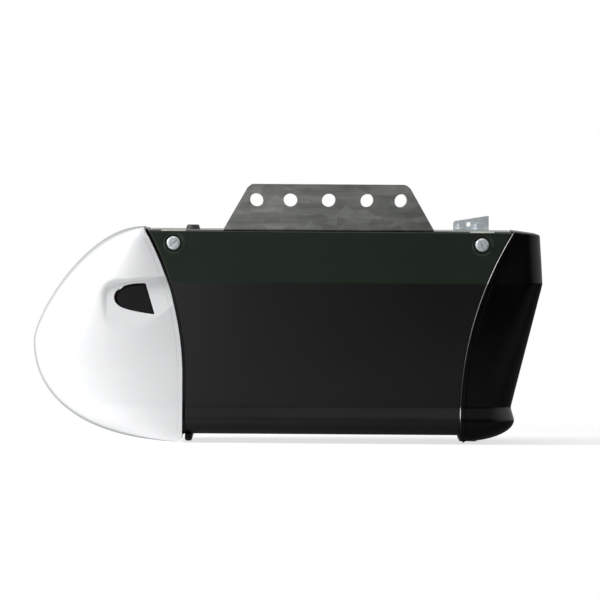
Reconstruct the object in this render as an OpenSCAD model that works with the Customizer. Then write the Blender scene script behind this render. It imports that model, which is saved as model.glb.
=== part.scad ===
// Garage door opener power head: a hanging steel chassis with a wrapped cover,
// a hinged light lens at the rear, a moulded cap at the front and a worm drive.
// The rear (light lens) lies at -X, the rail leaves at +X, and +Z is up.

/* [Head] */
// Overall length, from the nose of the lens to the face of the cap
head_l = 420; // [400:1:460]
// Width of the cover at its crease
crease_w = 244; // [236:1:260]
// Width of the cover at its top edge
top_w = 238; // [230:1:244]
// Width at the pinch, just above the lower lip
pinch_w = 200; // [190:1:210]
// Width at the lower lip
lip_w = 206; // [192:1:212]
// Width of the flat underside
base_w = 184; // [160:1:190]
// Height of the cover's top edge
cover_top_z = 174; // [168:1:180]
// Height of the crease along each side
crease_z = 132; // [120:1:140]
// Height of the pinch
pinch_z = 30; // [26:1:36]
// Height of the lower lip
lip_z = 20; // [16:1:24]

/* [Cover] */
// Height of the cover's underside
cover_base_z = 7; // [5:0.5:9]
// Thickness of the cover sheet
cover_t = 1; // [0.8:0.1:1.5]
// Rear edge of the cover where it is straight
rear_x = -83; // [-90:0.5:-80]
// Height at which the rear edge starts to bow outwards
rear_bow_z = 53; // [40:1:70]
// Radius of the rear edge's bow
rear_bow_r = 250; // [220:1:320]
// Front edge of the cover where it is straight
front_x = 142.5; // [140:0.5:150]
// Height at which the front edge starts to bow outwards
front_bow_z = 23; // [15:1:40]
// Radius of the front edge's bow
front_bow_r = 290; // [270:1:340]
// Radius of the dimple round each cover screw
dimple_r = 8.7; // [7:0.1:10]
// Length of one cooling slot in the underside
vent_l = 34; // [20:1:40]
// Number of cooling slots in a row
vent_count = 9; // [3:1:11]

/* [Light lens] */
// Height of the lens at its top
lens_top_z = 176.5; // [175:0.5:180]
// Height of the lens's nose
nose_z = 81; // [70:1:95]
// Wall of the lens
lens_wall = 2.5; // [2:0.1:3]
// Squareness of the lens in plan, where 2 is an ellipse
lens_square = 2.7; // [2.3:0.1:3.2]
// Depth of the finger scoop at the rim
scoop_depth = 5; // [3:0.5:6]
// Turn of the scoop's floor towards the nose
scoop_turn = 11; // [8:0.5:13]
// Wall left in front of the release tab
window_wall = 1.4; // [1.2:0.1:2]

/* [Lamp panel] */
// Thickness of the moulded panel, which shows as a dark line
panel_t = 2.5; // [2:0.1:3]
// Radius of each lens hinge pin
hinge_pin_r = 1.6; // [1.2:0.1:1.8]
// Height of the lens hinge
hinge_z = 6.5; // [6:0.1:7]
// Distance from the middle to each lens hinge
hinge_y = 74; // [50:1:80]
// Thickness of a release tab
tab_t = 2; // [1.6:0.1:2.5]

/* [Chassis] */
// Thickness of the galvanised sheet
sheet_t = 1.5; // [1.2:0.1:2]
// Height of the hanging flanges' top edge
hanger_top_z = 212.5; // [205:0.5:220]
// Middle of the hanging flanges
hanger_x = 33.8; // [25:0.1:45]
// Length of a hanging flange at its foot
hanger_foot_l = 172.7; // [160:0.1:180]
// Length of a hanging flange at its top
hanger_top_l = 132; // [125:1:140]
// Diameter of each hanging hole
hanger_hole_d = 11.5; // [8:0.1:12]
// Height of the hanging holes
hanger_hole_z = 199.5; // [195:0.5:203]
// Pitch of the inner hanging holes
hanger_pitch = 31.75; // [29:0.05:34]
// Pitch of the outer hanging holes
hanger_end_pitch = 28; // [25:0.5:30]

/* [End cap] */
// Height of the cap's top
cap_top_z = 174.5; // [174:0.5:178]
// Height of the cap's underside
cap_base_z = 2; // [1:0.5:5]
// Wall of the cap
cap_wall = 2.5; // [2:0.1:3]
// Radius of the cap's upright corners at the top
cap_corner_r = 14; // [8:1:18]
// Radius of the cap's upright corners at the bottom
cap_foot_r = 30; // [20:1:40]

/* [Drive] */
// Place of the upright drive shaft along the head
shaft_x = 60; // [56:0.5:64]
// Radius of the drive shaft
shaft_r = 6.35; // [5:0.05:7]
// Height of the gear's middle
gear_z = 118; // [114:1:120]
// Teeth of the gear
gear_teeth = 30; // [30:30:30]
// Module of the gear
gear_module = 2; // [1.9:0.02:2.06]
// Width of the gear's face
gear_face = 14; // [10:1:18]
// Radius of the worm at its pitch line
worm_pitch_r = 8; // [7.4:0.1:8.4]
// Length of the worm
worm_l = 27; // [20:1:27]
// Teeth of the sprocket
sprocket_teeth = 15; // [12:1:15]
// Pitch of the drive chain
chain_pitch = 12.7; // [11:0.1:12.7]

/* [Motor] */
// Side of the stator stack
stator_w = 92; // [84:1:94]
// Length of the stator stack
stator_l = 46; // [36:1:46]
// Radius of the end bells
bell_r = 42; // [36:1:44]
// Length of each end bell
bell_l = 17; // [12:1:18]
// Radius of the motor shaft
motor_shaft_r = 5; // [4:0.1:5]

/* [Lamp] */
// Radius of the bulb
bulb_r = 28; // [22:1:30]
// Height of the lamp's axis
lamp_z = 95; // [90:1:100]

/* [Hidden] */
$fn = 48;

gap = 0.3;
run = 0.05;
nose_x = -head_l / 2;
cap_x = head_l / 2;

// ---- outline of the head, shared by cover, lens, panel, walls and cap ----

// How far an edge that bows with radius r has moved after a rise of h
function bow(h, r) = h <= 0 ? 0 : r - sqrt(r * r - h * h);
function rear_edge(z) = rear_x - bow(z - rear_bow_z, rear_bow_r);
function front_edge(z) = front_x + bow(z - front_bow_z, front_bow_r);
function blend(a, b, t) = a + (b - a) * t;

// Half width at height z of a shell whose underside lies at base
function side_y(z, base) =
    z < lip_z ? blend(base_w, lip_w, sqrt(max(0, 1 - pow((lip_z - z) / (lip_z - base), 2)))) / 2
    : z < pinch_z ? blend(lip_w, pinch_w, (z - lip_z) / (pinch_z - lip_z)) / 2
    : z < crease_z ? blend(pinch_w, crease_w, (z - pinch_z) / (crease_z - pinch_z)) / 2
    : blend(crease_w, top_w, (z - crease_z) / (cover_top_z - crease_z)) / 2;

// Heights at which the outline needs a point
function side_steps(base, top) = concat(
    [for (i = [0:5]) base + (lip_z - base) * (1 - cos(i * 18))],
    [pinch_z, crease_z, top]);

// Cross-section of the head in Y and Z, taken in by inset at the sides and lift at the foot
module head_section(base, top, inset = 0) {
    steps = side_steps(base, top);
    right = [for (z = steps) [side_y(z, base) - inset, z + (z < lip_z ? inset : 0)]];
    left = [for (i = [len(right) - 1:-1:0]) [-right[i][0], right[i][1]]];
    polygon(concat(right, left));
}

// A cross-section carried along the head from x0 to x1
module along_head(x0, x1) {
    translate([x0, 0, 0])
        rotate([90, 0, 90])
            linear_extrude(x1 - x0)
                children();
}

// Side view between an edge moved by d0 and another moved by d1
module rear_band(d0, d1, z0, z1) {
    steps = [for (i = [0:16]) blend(z0, z1, i / 16)];
    across_head()
        polygon(concat(
            [for (z = steps) [rear_edge(z) + d0, z]],
            [for (i = [16:-1:0]) [rear_edge(steps[i]) + d1, steps[i]]]));
}

// A side view carried right across the head
module across_head(w = 300) {
    translate([0, w / 2, 0])
        rotate([90, 0, 0])
            linear_extrude(w)
                children();
}

module box(lo, hi) {
    translate(lo)
        cube(hi - lo);
}

// A cylinder along Y from y0 to y1
module rod_y(x, y0, y1, z, r) {
    translate([x, y0, z])
        rotate([-90, 0, 0])
            cylinder(h = y1 - y0, r = r);
}

// A cylinder along X from x0 to x1
module rod_x(x0, x1, y, z, r) {
    translate([x0, y, z])
        rotate([0, 90, 0])
            cylinder(h = x1 - x0, r = r);
}

module rod_z(x, y, z0, z1, r) {
    translate([x, y, z0])
        cylinder(h = z1 - z0, r = r);
}

module both_sides() {
    children();
    mirror([0, 1, 0])
        children();
}

// ---- chassis ----

plate_top_z = cover_top_z + 1;
plate_z = plate_top_z - sheet_t;
plate_rear_x = rear_edge(cover_top_z) + 1;
plate_front_x = front_edge(cover_top_z) - 1;
screw_tab_w = 20;
screw_z = 164;
rear_screw_x = -93.8;
front_screw_x = 160;
screw_xs = [rear_screw_x, front_screw_x];
screw_r = 2;
dimple_drop = 1.2;
// The flanges and screw tabs lie against the cover's dishes
flange_y = side_y(screw_z, cover_base_z) - dimple_drop - cover_t;
bend_r = 2 * sheet_t;
hanger_hole_xs = [
    hanger_x - hanger_pitch - hanger_end_pitch,
    hanger_x - hanger_pitch,
    hanger_x,
    hanger_x + hanger_pitch,
    hanger_x + hanger_pitch + hanger_end_pitch];

// A strip of sheet bent through a right angle, from the plate up or down to z1
module bent_strip(x0, x1, z1) {
    up = z1 > plate_z;
    z_in = up ? plate_top_z : plate_z;
    along_head(x0, x1)
        translate([flange_y, up ? plate_z : plate_top_z])
            mirror([0, up ? 0 : 1])
                union() {
                    difference() {
                        intersection() {
                            translate([-bend_r, bend_r])
                                circle(r = bend_r, $fn = 32);
                            translate([-bend_r, 0])
                                square(bend_r);
                        }
                        translate([-bend_r, bend_r])
                            circle(r = bend_r - sheet_t, $fn = 32);
                    }
                    translate([-bend_r - 4, 0])
                        square([4.01, sheet_t]);
                    translate([-sheet_t, bend_r - 0.01])
                        square([sheet_t, abs(z1 - z_in) + sheet_t - bend_r + 0.01]);
                }
}

module hanger_outline() {
    polygon([
        [hanger_x - hanger_foot_l / 2, plate_z - 1],
        [hanger_x + hanger_foot_l / 2, plate_z - 1],
        [hanger_x + hanger_foot_l / 2, plate_top_z + 1],
        [hanger_x + hanger_top_l / 2 + 1, hanger_top_z - 2.5],
        [hanger_x + hanger_top_l / 2 - 2, hanger_top_z],
        [hanger_x - hanger_top_l / 2 + 2, hanger_top_z],
        [hanger_x - hanger_top_l / 2 - 1, hanger_top_z - 2.5],
        [hanger_x - hanger_foot_l / 2, plate_top_z + 1]]);
}

module chassis() {
    color("darkgray")
        difference() {
            union() {
                box([plate_rear_x, -flange_y + bend_r, plate_z],
                    [plate_front_x, flange_y - bend_r, plate_top_z]);
                both_sides() {
                    intersection() {
                        bent_strip(hanger_x - hanger_foot_l / 2, hanger_x + hanger_foot_l / 2,
                            hanger_top_z);
                        across_head()
                            hanger_outline();
                    }
                    for (x = screw_xs)
                        bent_strip(x - screw_tab_w / 2, x + screw_tab_w / 2,
                            screw_z - screw_tab_w / 2);
                }
            }
            for (x = hanger_hole_xs)
                rod_y(x, -flange_y - 1, flange_y + 1, hanger_hole_z, hanger_hole_d / 2);
            for (x = screw_xs)
                rod_y(x, -flange_y - 1, flange_y + 1, screw_z, screw_r);
            rod_z(shaft_x, 0, plate_z - 1, plate_top_z + 1, bushing_r);
            rod_z(bushing_x, bushing_y, plate_z - 1, plate_top_z + 1, bushing_neck_r);
            for (x = rail_screw_xs, s = [-1, 1])
                rod_z(x, s * rail_screw_y, plate_z - 1, plate_top_z + 1, rail_screw_r);
            for (s = [-1, 1])
                rod_z(spreader_screw_x, s * spreader_screw_y, plate_z - 1, plate_top_z + 1,
                    rail_screw_r);
        }
}

// ---- cover ----

vent_w = 4;
vent_pitch = 9;

module cover_profile() {
    steps = [for (i = [0:16]) blend(cover_base_z - 1, cover_top_z, i / 16)];
    polygon(concat(
        [for (z = steps) [rear_edge(z), z]],
        [for (i = [16:-1:0]) [front_edge(steps[i]), steps[i]]]));
}

// The outer face of the sheet's dish at a screw
module dimple(grow) {
    translate([0, side_y(screw_z, cover_base_z) - dimple_drop - grow, screw_z])
        rotate([-90, 0, 0])
            cylinder(h = 4, r1 = dimple_r - 1.5, r2 = dimple_r + 2.5);
}

module cover_wrap() {
    intersection() {
        difference() {
            along_head(rear_edge(cover_top_z) - 5, front_edge(cover_top_z) + 5)
                head_section(cover_base_z, cover_top_z);
            along_head(rear_edge(cover_top_z) - 6, front_edge(cover_top_z) + 6)
                head_section(cover_base_z, cover_top_z + 1, cover_t);
        }
        across_head()
            cover_profile();
    }
}

module cover() {
    color([0.16, 0.18, 0.17])
        difference() {
            union() {
                cover_wrap();
                both_sides()
                    for (x = screw_xs)
                        intersection() {
                            translate([x, 0, 0])
                                dimple(cover_t);
                            along_head(x - 15, x + 15)
                                head_section(cover_base_z, cover_top_z);
                        }
            }
            both_sides()
                for (x = screw_xs) {
                    translate([x, 0, 0])
                        dimple(0);
                    rod_y(x, flange_y - 1, flange_y + 10, screw_z, screw_r + 0.3);
                }
            for (s = [-1, 1], i = [0:vent_count - 1])
                translate([30 + (i - (vent_count - 1) / 2) * vent_pitch, s * 38, 0])
                    translate([-vent_w / 2, -vent_l / 2, cover_base_z - 1])
                        cube([vent_w, vent_l, cover_t + 2]);
            control_place()
                translate([-port_w / 2, -6, -port_h / 2])
                    cube([port_w, 12, port_h]);
        }
}

// ---- light lens: horizontal slices, each a squared ellipse that starts at the rim ----

rim_gap = 0.4;
lens_edge_r = 10;
lens_foot_r = 5;
rim_band = 4.5;
upper_slices = 12;
lower_slices = 12;
plan_steps = 12;

function bezier(p, t) =
    pow(1 - t, 3) * p[0] + 3 * pow(1 - t, 2) * t * p[1] + 3 * (1 - t) * t * t * p[2]
    + pow(t, 3) * p[3];

// Side view of the lens, from its foot round the nose to its top, taken in by inset
function lens_low(inset) = [
    [rear_x - 9, inset],
    [rear_x - 81, inset],
    [nose_x + inset, nose_z - 48],
    [nose_x + inset, nose_z]];
function lens_high(inset) = [
    [nose_x + inset, nose_z],
    [nose_x + inset, nose_z + 23],
    [rear_edge(lens_top_z) - 50, lens_top_z - inset],
    [rear_edge(lens_top_z) - 6, lens_top_z - inset]];
function lens_side(inset) = concat(
    [for (i = [0:lower_slices - 1]) bezier(lens_low(inset), i / lower_slices)],
    [for (i = [0:upper_slices]) bezier(lens_high(inset), i / upper_slices)]);

// The rim follows the cover's edge, and is rounded at its foot for the hinge
function lens_rim(z) = z < lens_foot_r
    ? rear_x - panel_t - rim_gap - lens_foot_r
        + sqrt(max(0, pow(lens_foot_r, 2) - pow(lens_foot_r - z, 2)))
    : rear_edge(z) - panel_t - rim_gap;
function lens_half(z) = side_y(z, 0) - bow(z - (lens_top_z - lens_edge_r), lens_edge_r);

function lens_slice(p, inset) = [for (j = [-plan_steps:plan_steps])
    let (
        a = 90 * j / plan_steps,
        rim = lens_rim(p[1]),
        along = pow(cos(a), 2 / lens_square),
        out = pow(abs(sin(a)), 2 / lens_square) * sign(a)
    )
    [rim - (rim - p[0]) * along, (lens_half(p[1]) - inset) * out, p[1]]];

// Joins two stacks of open slices, one inside the other, into one closed wall
module slice_shell(outer, inner) {
    rows = len(outer);
    n = len(outer[0]);
    points = concat([for (s = outer) each s], [for (s = inner) each s]);
    m = rows * n;
    walls = [for (i = [0:rows - 2], j = [0:n - 2]) each [
        [i * n + j, i * n + j + 1, (i + 1) * n + j + 1],
        [i * n + j, (i + 1) * n + j + 1, (i + 1) * n + j],
        [m + i * n + j, m + (i + 1) * n + j + 1, m + i * n + j + 1],
        [m + i * n + j, m + (i + 1) * n + j, m + (i + 1) * n + j + 1]]];
    rims = [for (i = [0:rows - 2]) each [
        [i * n, (i + 1) * n, m + (i + 1) * n],
        [i * n, m + (i + 1) * n, m + i * n],
        [i * n + n - 1, m + (i + 1) * n + n - 1, (i + 1) * n + n - 1],
        [i * n + n - 1, m + i * n + n - 1, m + (i + 1) * n + n - 1]]];
    top = (rows - 1) * n;
    lids = [
        [for (j = [n - 1:-1:0]) j],
        [for (j = [0:n - 1]) top + j],
        [for (j = [0:n - 1]) m + j],
        [for (j = [n - 1:-1:0]) m + top + j],
        [0, m, m + n - 1, n - 1],
        [top, top + n - 1, m + top + n - 1, m + top]];
    polyhedron(points, concat(walls, rims, lids), convexity = 6);
}

module lens_shell() {
    slice_shell(
        [for (p = lens_side(0)) lens_slice(p, 0)],
        [for (p = lens_side(lens_wall)) lens_slice(p, lens_wall)]);
}

// The scoop's frame: origin at the rim on the crease, X towards the nose, Y outwards
scoop_x = lens_rim(crease_z);
scoop_y = crease_w / 2 - scoop_depth;

module scoop_place() {
    translate([scoop_x, scoop_y, 0])
        rotate([0, 0, scoop_turn])
            children();
}

scoop_l = 54;
scoop_foot_z = crease_z - 30;
scoop_end_z = crease_z - 13.5;

// Side view of the scoop: a crisp sloping brow and a round end
module scoop_outline(grow = 0) {
    polygon(concat(
        [[14, scoop_foot_z - grow], [14, crease_z + 6.5 + grow], [-6, crease_z + 4.7 + grow]],
        [for (a = [0:15:90])
            [18 - scoop_l - (18 + grow) * sin(a),
                scoop_end_z + (crease_z + 0.8 - scoop_end_z + grow) * cos(a)]],
        [[4 - scoop_l, scoop_foot_z - grow]]));
}

// Side view of the release tab's window: a D with its flat edge along the rim
window_x = -15.2;
window_l = 31.2;
window_low = crease_z - 27.5;
window_high = crease_z - 1.5;

module window_outline(grow = 0) {
    polygon(concat(
        [[window_x + 3.5 + grow, window_low - grow], [window_x - 3.5 + grow, window_high + grow]],
        [for (a = [0:15:180])
            [window_x - 13 - (window_l - 13 + grow) * sin(a),
                (window_low + window_high) / 2 + 0.5
                + ((window_high - window_low) / 2 - 0.5 + grow) * cos(a) + 1.5 * (1 - a / 90)
            ]]));
}

module carve_y(y0, y1) {
    translate([0, y1, 0])
        rotate([90, 0, 0])
            linear_extrude(y1 - y0)
                children();
}

hinge_x = rear_x - 7;
hinge_lug_r = 3.3;
hinge_lug_w = 3;
hinge_arm_w = 4;

module light_lens() {
    color([0.93, 0.94, 0.95])
        difference() {
            union() {
                lens_shell();
                both_sides() {
                    intersection() {
                        scoop_place()
                            carve_y(-window_wall, 0.01)
                                scoop_outline(2);
                        lens_fill();
                    }
                    for (y = [hinge_y - hinge_arm_w / 2 - gap - hinge_lug_w,
                              hinge_y + hinge_arm_w / 2 + gap]) {
                        rod_y(hinge_x, y, y + hinge_lug_w, hinge_z, hinge_lug_r);
                        box([hinge_x - hinge_lug_r, y, lens_wall / 2],
                            [hinge_x, y + hinge_lug_w, hinge_z]);
                    }
                }
            }
            both_sides() {
                scoop_place() {
                    carve_y(0, 20)
                        scoop_outline();
                    carve_y(-10, 20)
                        window_outline();
                }
                rod_y(hinge_x, hinge_y - 9, hinge_y + 9, hinge_z, hinge_pin_r + run);
                box([hinge_x - 6, hinge_y - hinge_arm_w / 2 - gap, -1],
                    [rear_x, hinge_y + hinge_arm_w / 2 + gap, hinge_z - 1]);
            }
        }
}

// The lens without its hollow, to trim what is added inside it
module lens_fill() {
    rows = [for (p = lens_side(0.3)) lens_slice(p, 0.3)];
    n = len(rows[0]);
    points = [for (s = rows) each s];
    top = (len(rows) - 1) * n;
    polyhedron(points, concat(
        [for (i = [0:len(rows) - 2], j = [0:n - 2]) each [
            [i * n + j, i * n + j + 1, (i + 1) * n + j + 1],
            [i * n + j, (i + 1) * n + j + 1, (i + 1) * n + j]]],
        [for (i = [0:len(rows) - 2]) each [
            [i * n + n - 1, i * n, (i + 1) * n],
            [i * n + n - 1, (i + 1) * n, (i + 1) * n + n - 1]]],
        [[for (j = [n - 1:-1:0]) j], [for (j = [0:n - 1]) top + j]]), convexity = 4);
}

// ---- lamp panel, its lens hinges and the release tabs ----

panel_base_z = 0.8;
ledge_l = 6;
ledge_t = 2;
panel_lug_z = plate_z - gap;
panel_foot_x = rear_x - 0.5;
foot_l = 6;
foot_r = 2.5;
tab_low = window_low + gap;
tab_high = window_high - gap;
journal_r = 1.3;
tab_face_v = -window_wall - gap;
tab_pivot_u = -0.8;
tab_pivot_v = -5.8;
tab_journal = 3;
tab_barrel_low = tab_low + 10;
tab_barrel_high = tab_high - 8;

module lamp_panel() {
    color([0.08, 0.08, 0.08])
        difference() {
            union() {
                // the web, with its edge showing between lens and cover
                intersection() {
                    rear_band(-panel_t, 0, hinge_z + 3, plate_top_z + 0.5);
                    along_head(rear_edge(plate_top_z + 1) - 5, rear_x + 1)
                        head_section(panel_base_z, plate_top_z + 0.5, 0.2);
                }
                // the foot, which runs under the cover's edge
                intersection() {
                    across_head()
                        union() {
                            translate([panel_foot_x, panel_base_z + foot_r])
                                square([foot_l, cover_base_z - gap - panel_base_z - foot_r]);
                            translate([panel_foot_x + foot_r, panel_base_z])
                                square([foot_l - 2 * foot_r, foot_r + 1]);
                            for (x = [foot_r, foot_l - foot_r])
                                translate([panel_foot_x + x, panel_base_z + foot_r])
                                    circle(r = foot_r, $fn = 32);
                            translate([panel_foot_x, cover_base_z - 3])
                                square([rear_x - panel_foot_x, 8]);
                        }
                    along_head(rear_x - 5, rear_x + 10)
                        head_section(panel_base_z, plate_top_z, 0.2);
                }
                // the ledge inside the cover
                intersection() {
                    rear_band(-0.1, ledge_l, cover_base_z + cover_t,
                        screw_z - screw_tab_w / 2 - 3);
                    difference() {
                        along_head(rear_edge(plate_top_z), rear_x + ledge_l + 1)
                            head_section(cover_base_z, plate_z, cover_t + gap);
                        along_head(rear_edge(plate_top_z) - 1, rear_x + ledge_l + 2)
                            head_section(cover_base_z, plate_z + 1, cover_t + gap + ledge_t);
                    }
                }
                // the lug under the chassis
                box([rear_edge(panel_lug_z) - 1, -80, panel_lug_z - 3],
                    [rear_edge(panel_lug_z) + 16, 80, panel_lug_z]);
                both_sides() {
                    // hinge arm
                    rod_y(hinge_x, hinge_y - hinge_arm_w / 2, hinge_y + hinge_arm_w / 2, hinge_z,
                        hinge_lug_r);
                    box([hinge_x, hinge_y - hinge_arm_w / 2, hinge_z - hinge_lug_r],
                        [rear_x - panel_t - 0.1, hinge_y + hinge_arm_w / 2,
                         hinge_z + hinge_lug_r]);
                    box([rear_x - panel_t - 0.2, hinge_y - hinge_arm_w / 2, hinge_z],
                        [rear_x - 0.2, hinge_y + hinge_arm_w / 2, hinge_z + 6]);
                    // lugs that hold the release tab
                    for (z = [tab_barrel_low - gap - 4, tab_barrel_high + gap])
                        scoop_place()
                            translate([tab_pivot_u - 2.2, tab_pivot_v - 2.2, z])
                                cube([10, 4.4, 4]);
                }
                // lamp socket pad
                rod_x(socket_x, rear_edge(lamp_z) - 1, 0, lamp_z, socket_pad_r);
            }
            both_sides() {
                rod_y(hinge_x, hinge_y - 9, hinge_y + 9, hinge_z, hinge_pin_r);
                scoop_place()
                    rod_z(tab_pivot_u, tab_pivot_v, tab_low - 6, tab_high + 6,
                        journal_r + run);
            }
            rod_x(rear_edge(lamp_z) - 20, rear_edge(lamp_z) + 20, 0, lamp_z, 8);
        }
}

module lens_hinge_pins() {
    color("silver")
        both_sides()
            rod_y(hinge_x, hinge_y - hinge_arm_w / 2 - gap - hinge_lug_w,
                hinge_y + hinge_arm_w / 2 + gap + hinge_lug_w, hinge_z, hinge_pin_r);
}

module release_tab() {
    color([0.12, 0.12, 0.13])
        scoop_place() {
            // head, with a crowned face
            translate([0, tab_face_v - tab_t, 0])
                intersection() {
                    carve_y(0, tab_t)
                        window_outline(-gap);
                    translate([window_x - 12, -38, (window_low + window_high) / 2])
                        rotate([-90, 0, 0])
                            cylinder(h = 38 + tab_t, r = 40);
                }
            // spring arm, cranked in towards its hinge
            translate([0, 0, tab_barrel_low])
                linear_extrude(tab_barrel_high - tab_barrel_low)
                    polygon([
                        [window_x - 2, tab_face_v - tab_t + 0.01],
                        [window_x + 5, tab_face_v - tab_t + 0.01],
                        [tab_pivot_u, tab_pivot_v + 1.2],
                        [tab_pivot_u, tab_pivot_v - 1.2],
                        [window_x + 5, tab_face_v - 2 * tab_t],
                        [window_x - 2, tab_face_v - 2 * tab_t + 0.5]]);
            // hinge barrel and journals
            rod_z(tab_pivot_u, tab_pivot_v, tab_barrel_low, tab_barrel_high, 2);
            rod_z(tab_pivot_u, tab_pivot_v, tab_barrel_low - tab_journal,
                tab_barrel_high + tab_journal, journal_r);
        }
}

module release_tab_left() { release_tab(); }

module release_tab_right() {
    mirror([0, 1, 0])
        release_tab();
}

// ---- end cap: horizontal slices, each a rounded box that starts at the rim ----

cap_lip_x = cap_x - 22;
cap_pinch_x = cap_x - 26;
cap_foot_x = front_x + 3;
cap_edge_r = 3;
cap_band = 4.5;
cap_step = 0.6;
// The inside of the wall swells by this much between rim and corner
cap_crown = 0.2;
cap_steps = concat(
    [for (i = [0:5]) cap_base_z + (lip_z - cap_base_z) * (1 - cos(i * 18))],
    [pinch_z, pinch_z + 8, 80, crease_z, 152],
    [for (i = [0:3]) cap_top_z - cap_edge_r + cap_edge_r * sin(i * 30)]);

// Reach of the cap's face at height z
function cap_end(z) =
    z < lip_z ? blend(cap_foot_x, cap_lip_x,
        sqrt(max(0, 1 - pow((lip_z - z) / (lip_z - cap_base_z), 2))))
    : z < pinch_z ? blend(cap_lip_x, cap_pinch_x, (z - lip_z) / (pinch_z - lip_z))
    : z < crease_z ? blend(cap_pinch_x, cap_x, (z - pinch_z) / (crease_z - pinch_z))
    : cap_x - 2.5 * (z - crease_z) / (cap_top_z - crease_z)
        - bow(z - (cap_top_z - cap_edge_r), cap_edge_r + 0.01);
function cap_half(z) = side_y(z, cap_base_z) - bow(z - (cap_top_z - cap_edge_r), cap_edge_r + 0.01);
function cap_rim(z) = front_edge(z) + gap;

// One side of a slice, from the rim to the middle of the face
function cap_side_points(z, inset) =
    let (
        x0 = cap_rim(z),
        x1 = max(cap_end(z) - inset, x0 + 1),
        w = cap_half(z) - inset,
        want = blend(cap_foot_r, cap_corner_r, max(0, (z - lip_z) / (crease_z - lip_z))) - inset,
        r = min(want, (x1 - x0) * 0.6),
        band = min(cap_band, (x1 - x0 - r) * 0.8),
        out = inset > 0 ? 0 : cap_step,
        crown = inset > 0 ? cap_crown : 0
    )
    concat(
        [[x0, w + out], [x0 + band, w + out + crown],
         [x0 + band + (x1 - x0 - r - band) * 0.3, w + crown]],
        [for (a = [0:15:90]) [x1 - r + r * sin(a), w - r + r * cos(a)]]);
function cap_slice(z, inset) =
    let (side = cap_side_points(z, inset), n = len(side))
    concat([for (p = side) [p[0], p[1], z]],
        [for (i = [n - 1:-1:0]) [side[i][0], -side[i][1], z]]);

cap_screw_x = front_x + 11.5;
cap_screw_y = 60;
cap_screw_r = 1.8;
cap_boss_r = 5;

module end_cap() {
    color([0.07, 0.07, 0.08])
        difference() {
            union() {
                slice_shell(
                    [for (z = cap_steps) cap_slice(z, 0)],
                    [for (z = cap_steps)
                        cap_slice(blend(cap_base_z + cap_wall, cap_top_z - cap_wall,
                            (z - cap_base_z) / (cap_top_z - cap_base_z)), cap_wall)]);
                for (s = [-1, 1])
                    rod_z(cap_screw_x, s * cap_screw_y, cap_base_z + cap_wall - 0.5,
                        cap_tab_z - gap, cap_boss_r);
            }
            for (s = [-1, 1]) {
                rod_z(cap_screw_x, s * cap_screw_y, 0, cap_tab_z + 1, cap_screw_r);
                rod_z(cap_screw_x, s * cap_screw_y, 0, cap_head_z, 3.6);
            }
        }
}

cap_head_z = cap_base_z + 1;

module cap_screws() {
    color("gray")
        for (s = [-1, 1]) {
            rod_z(cap_screw_x, s * cap_screw_y, cap_head_z - 1.6, cap_head_z, 3.3);
            rod_z(cap_screw_x, s * cap_screw_y, cap_head_z - 0.1, cap_tab_z + sheet_t + 2,
                cap_screw_r);
        }
}

// ---- walls inside the head ----

rear_wall_x = rear_x + ledge_l + gap;
front_wall_x = front_x - 5;

module wall(x, hole_y, hole_z, hole_r) {
    color("darkgray")
        difference() {
            union() {
                along_head(x, x + sheet_t)
                    head_section(cover_base_z + cover_t, plate_z, cover_t + gap);
                box([x, -90, plate_z - sheet_t], [x + 12, 90, plate_z]);
            }
            both_sides()
                box([x - 1, flange_y - bend_r - 2, plate_z - 20], [x + 13, crease_w, plate_z + 1]);
            rod_x(x - 1, x + 3, hole_y, hole_z, hole_r);
        }
}

module rear_wall() {
    color("darkgray")
        difference() {
            wall(rear_wall_x, 0, lamp_z, 24);
            rod_z(bushing_x, bushing_y, plate_z - 12, plate_z + 1, bushing_head_r + 1);
        }
}

cap_tab_z = cover_base_z + 2 * cover_t + gap;
cap_tab_w = 18;

module front_wall() {
    color("darkgray")
        difference() {
            union() {
                wall(front_wall_x, 40, 60, 12);
                for (s = [-1, 1])
                    box([front_wall_x, s * cap_screw_y - cap_tab_w / 2, cap_tab_z],
                        [cap_screw_x + 9, s * cap_screw_y + cap_tab_w / 2, cap_tab_z + sheet_t]);
            }
            for (x = rail_screw_xs, s = [-1, 1])
                rod_z(x, s * rail_screw_y, plate_z - 6, plate_z + 1, rail_screw_r);
            for (s = [-1, 1])
                rod_z(cap_screw_x, s * cap_screw_y, 0, cap_tab_z + 5, cap_screw_r);
        }
}

// ---- rail bracket, screws and the cord's bushing ----

bracket_x0 = 137.5;
bracket_x1 = 166.5;
bracket_w = 44;
bracket_low_z = 183;
bracket_high_z = 187.7;
bracket_hole_r = 2;
rail_screw_y = 32;
rail_screw_xs = [144, 158];
rail_screw_r = 2.5;

module rail_bracket() {
    color([0.82, 0.86, 0.86])
        difference() {
            union() {
                both_sides()
                    box([bracket_x0, bracket_w / 2 - sheet_t, plate_top_z],
                        [bracket_x1, bracket_w / 2, bracket_high_z]);
                both_sides()
                    box([bracket_x0, bracket_w / 2 - sheet_t, plate_top_z],
                        [bracket_x1, rail_screw_y + 7, plate_top_z + sheet_t]);
                box([bracket_x1 - sheet_t, -bracket_w / 2, plate_top_z],
                    [bracket_x1, bracket_w / 2, bracket_high_z]);
            }
            across_head()
                polygon([
                    [bracket_x0 - 1, bracket_low_z - 2],
                    [bracket_x0 + 1.5, bracket_low_z],
                    [bracket_x1 + 1, bracket_high_z],
                    [bracket_x1 + 1, bracket_high_z + 9],
                    [bracket_x0 - 1, bracket_high_z + 9]]);
            rod_y((bracket_x0 + bracket_x1) / 2 - 2.1, -bracket_w, bracket_w, 180.4, bracket_hole_r);
            for (x = rail_screw_xs, s = [-1, 1])
                rod_z(x, s * rail_screw_y, 170, 190, rail_screw_r);
            rod_x(bracket_x1 - 5, bracket_x1 + 5, 0, 181, 3);
        }
}

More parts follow.
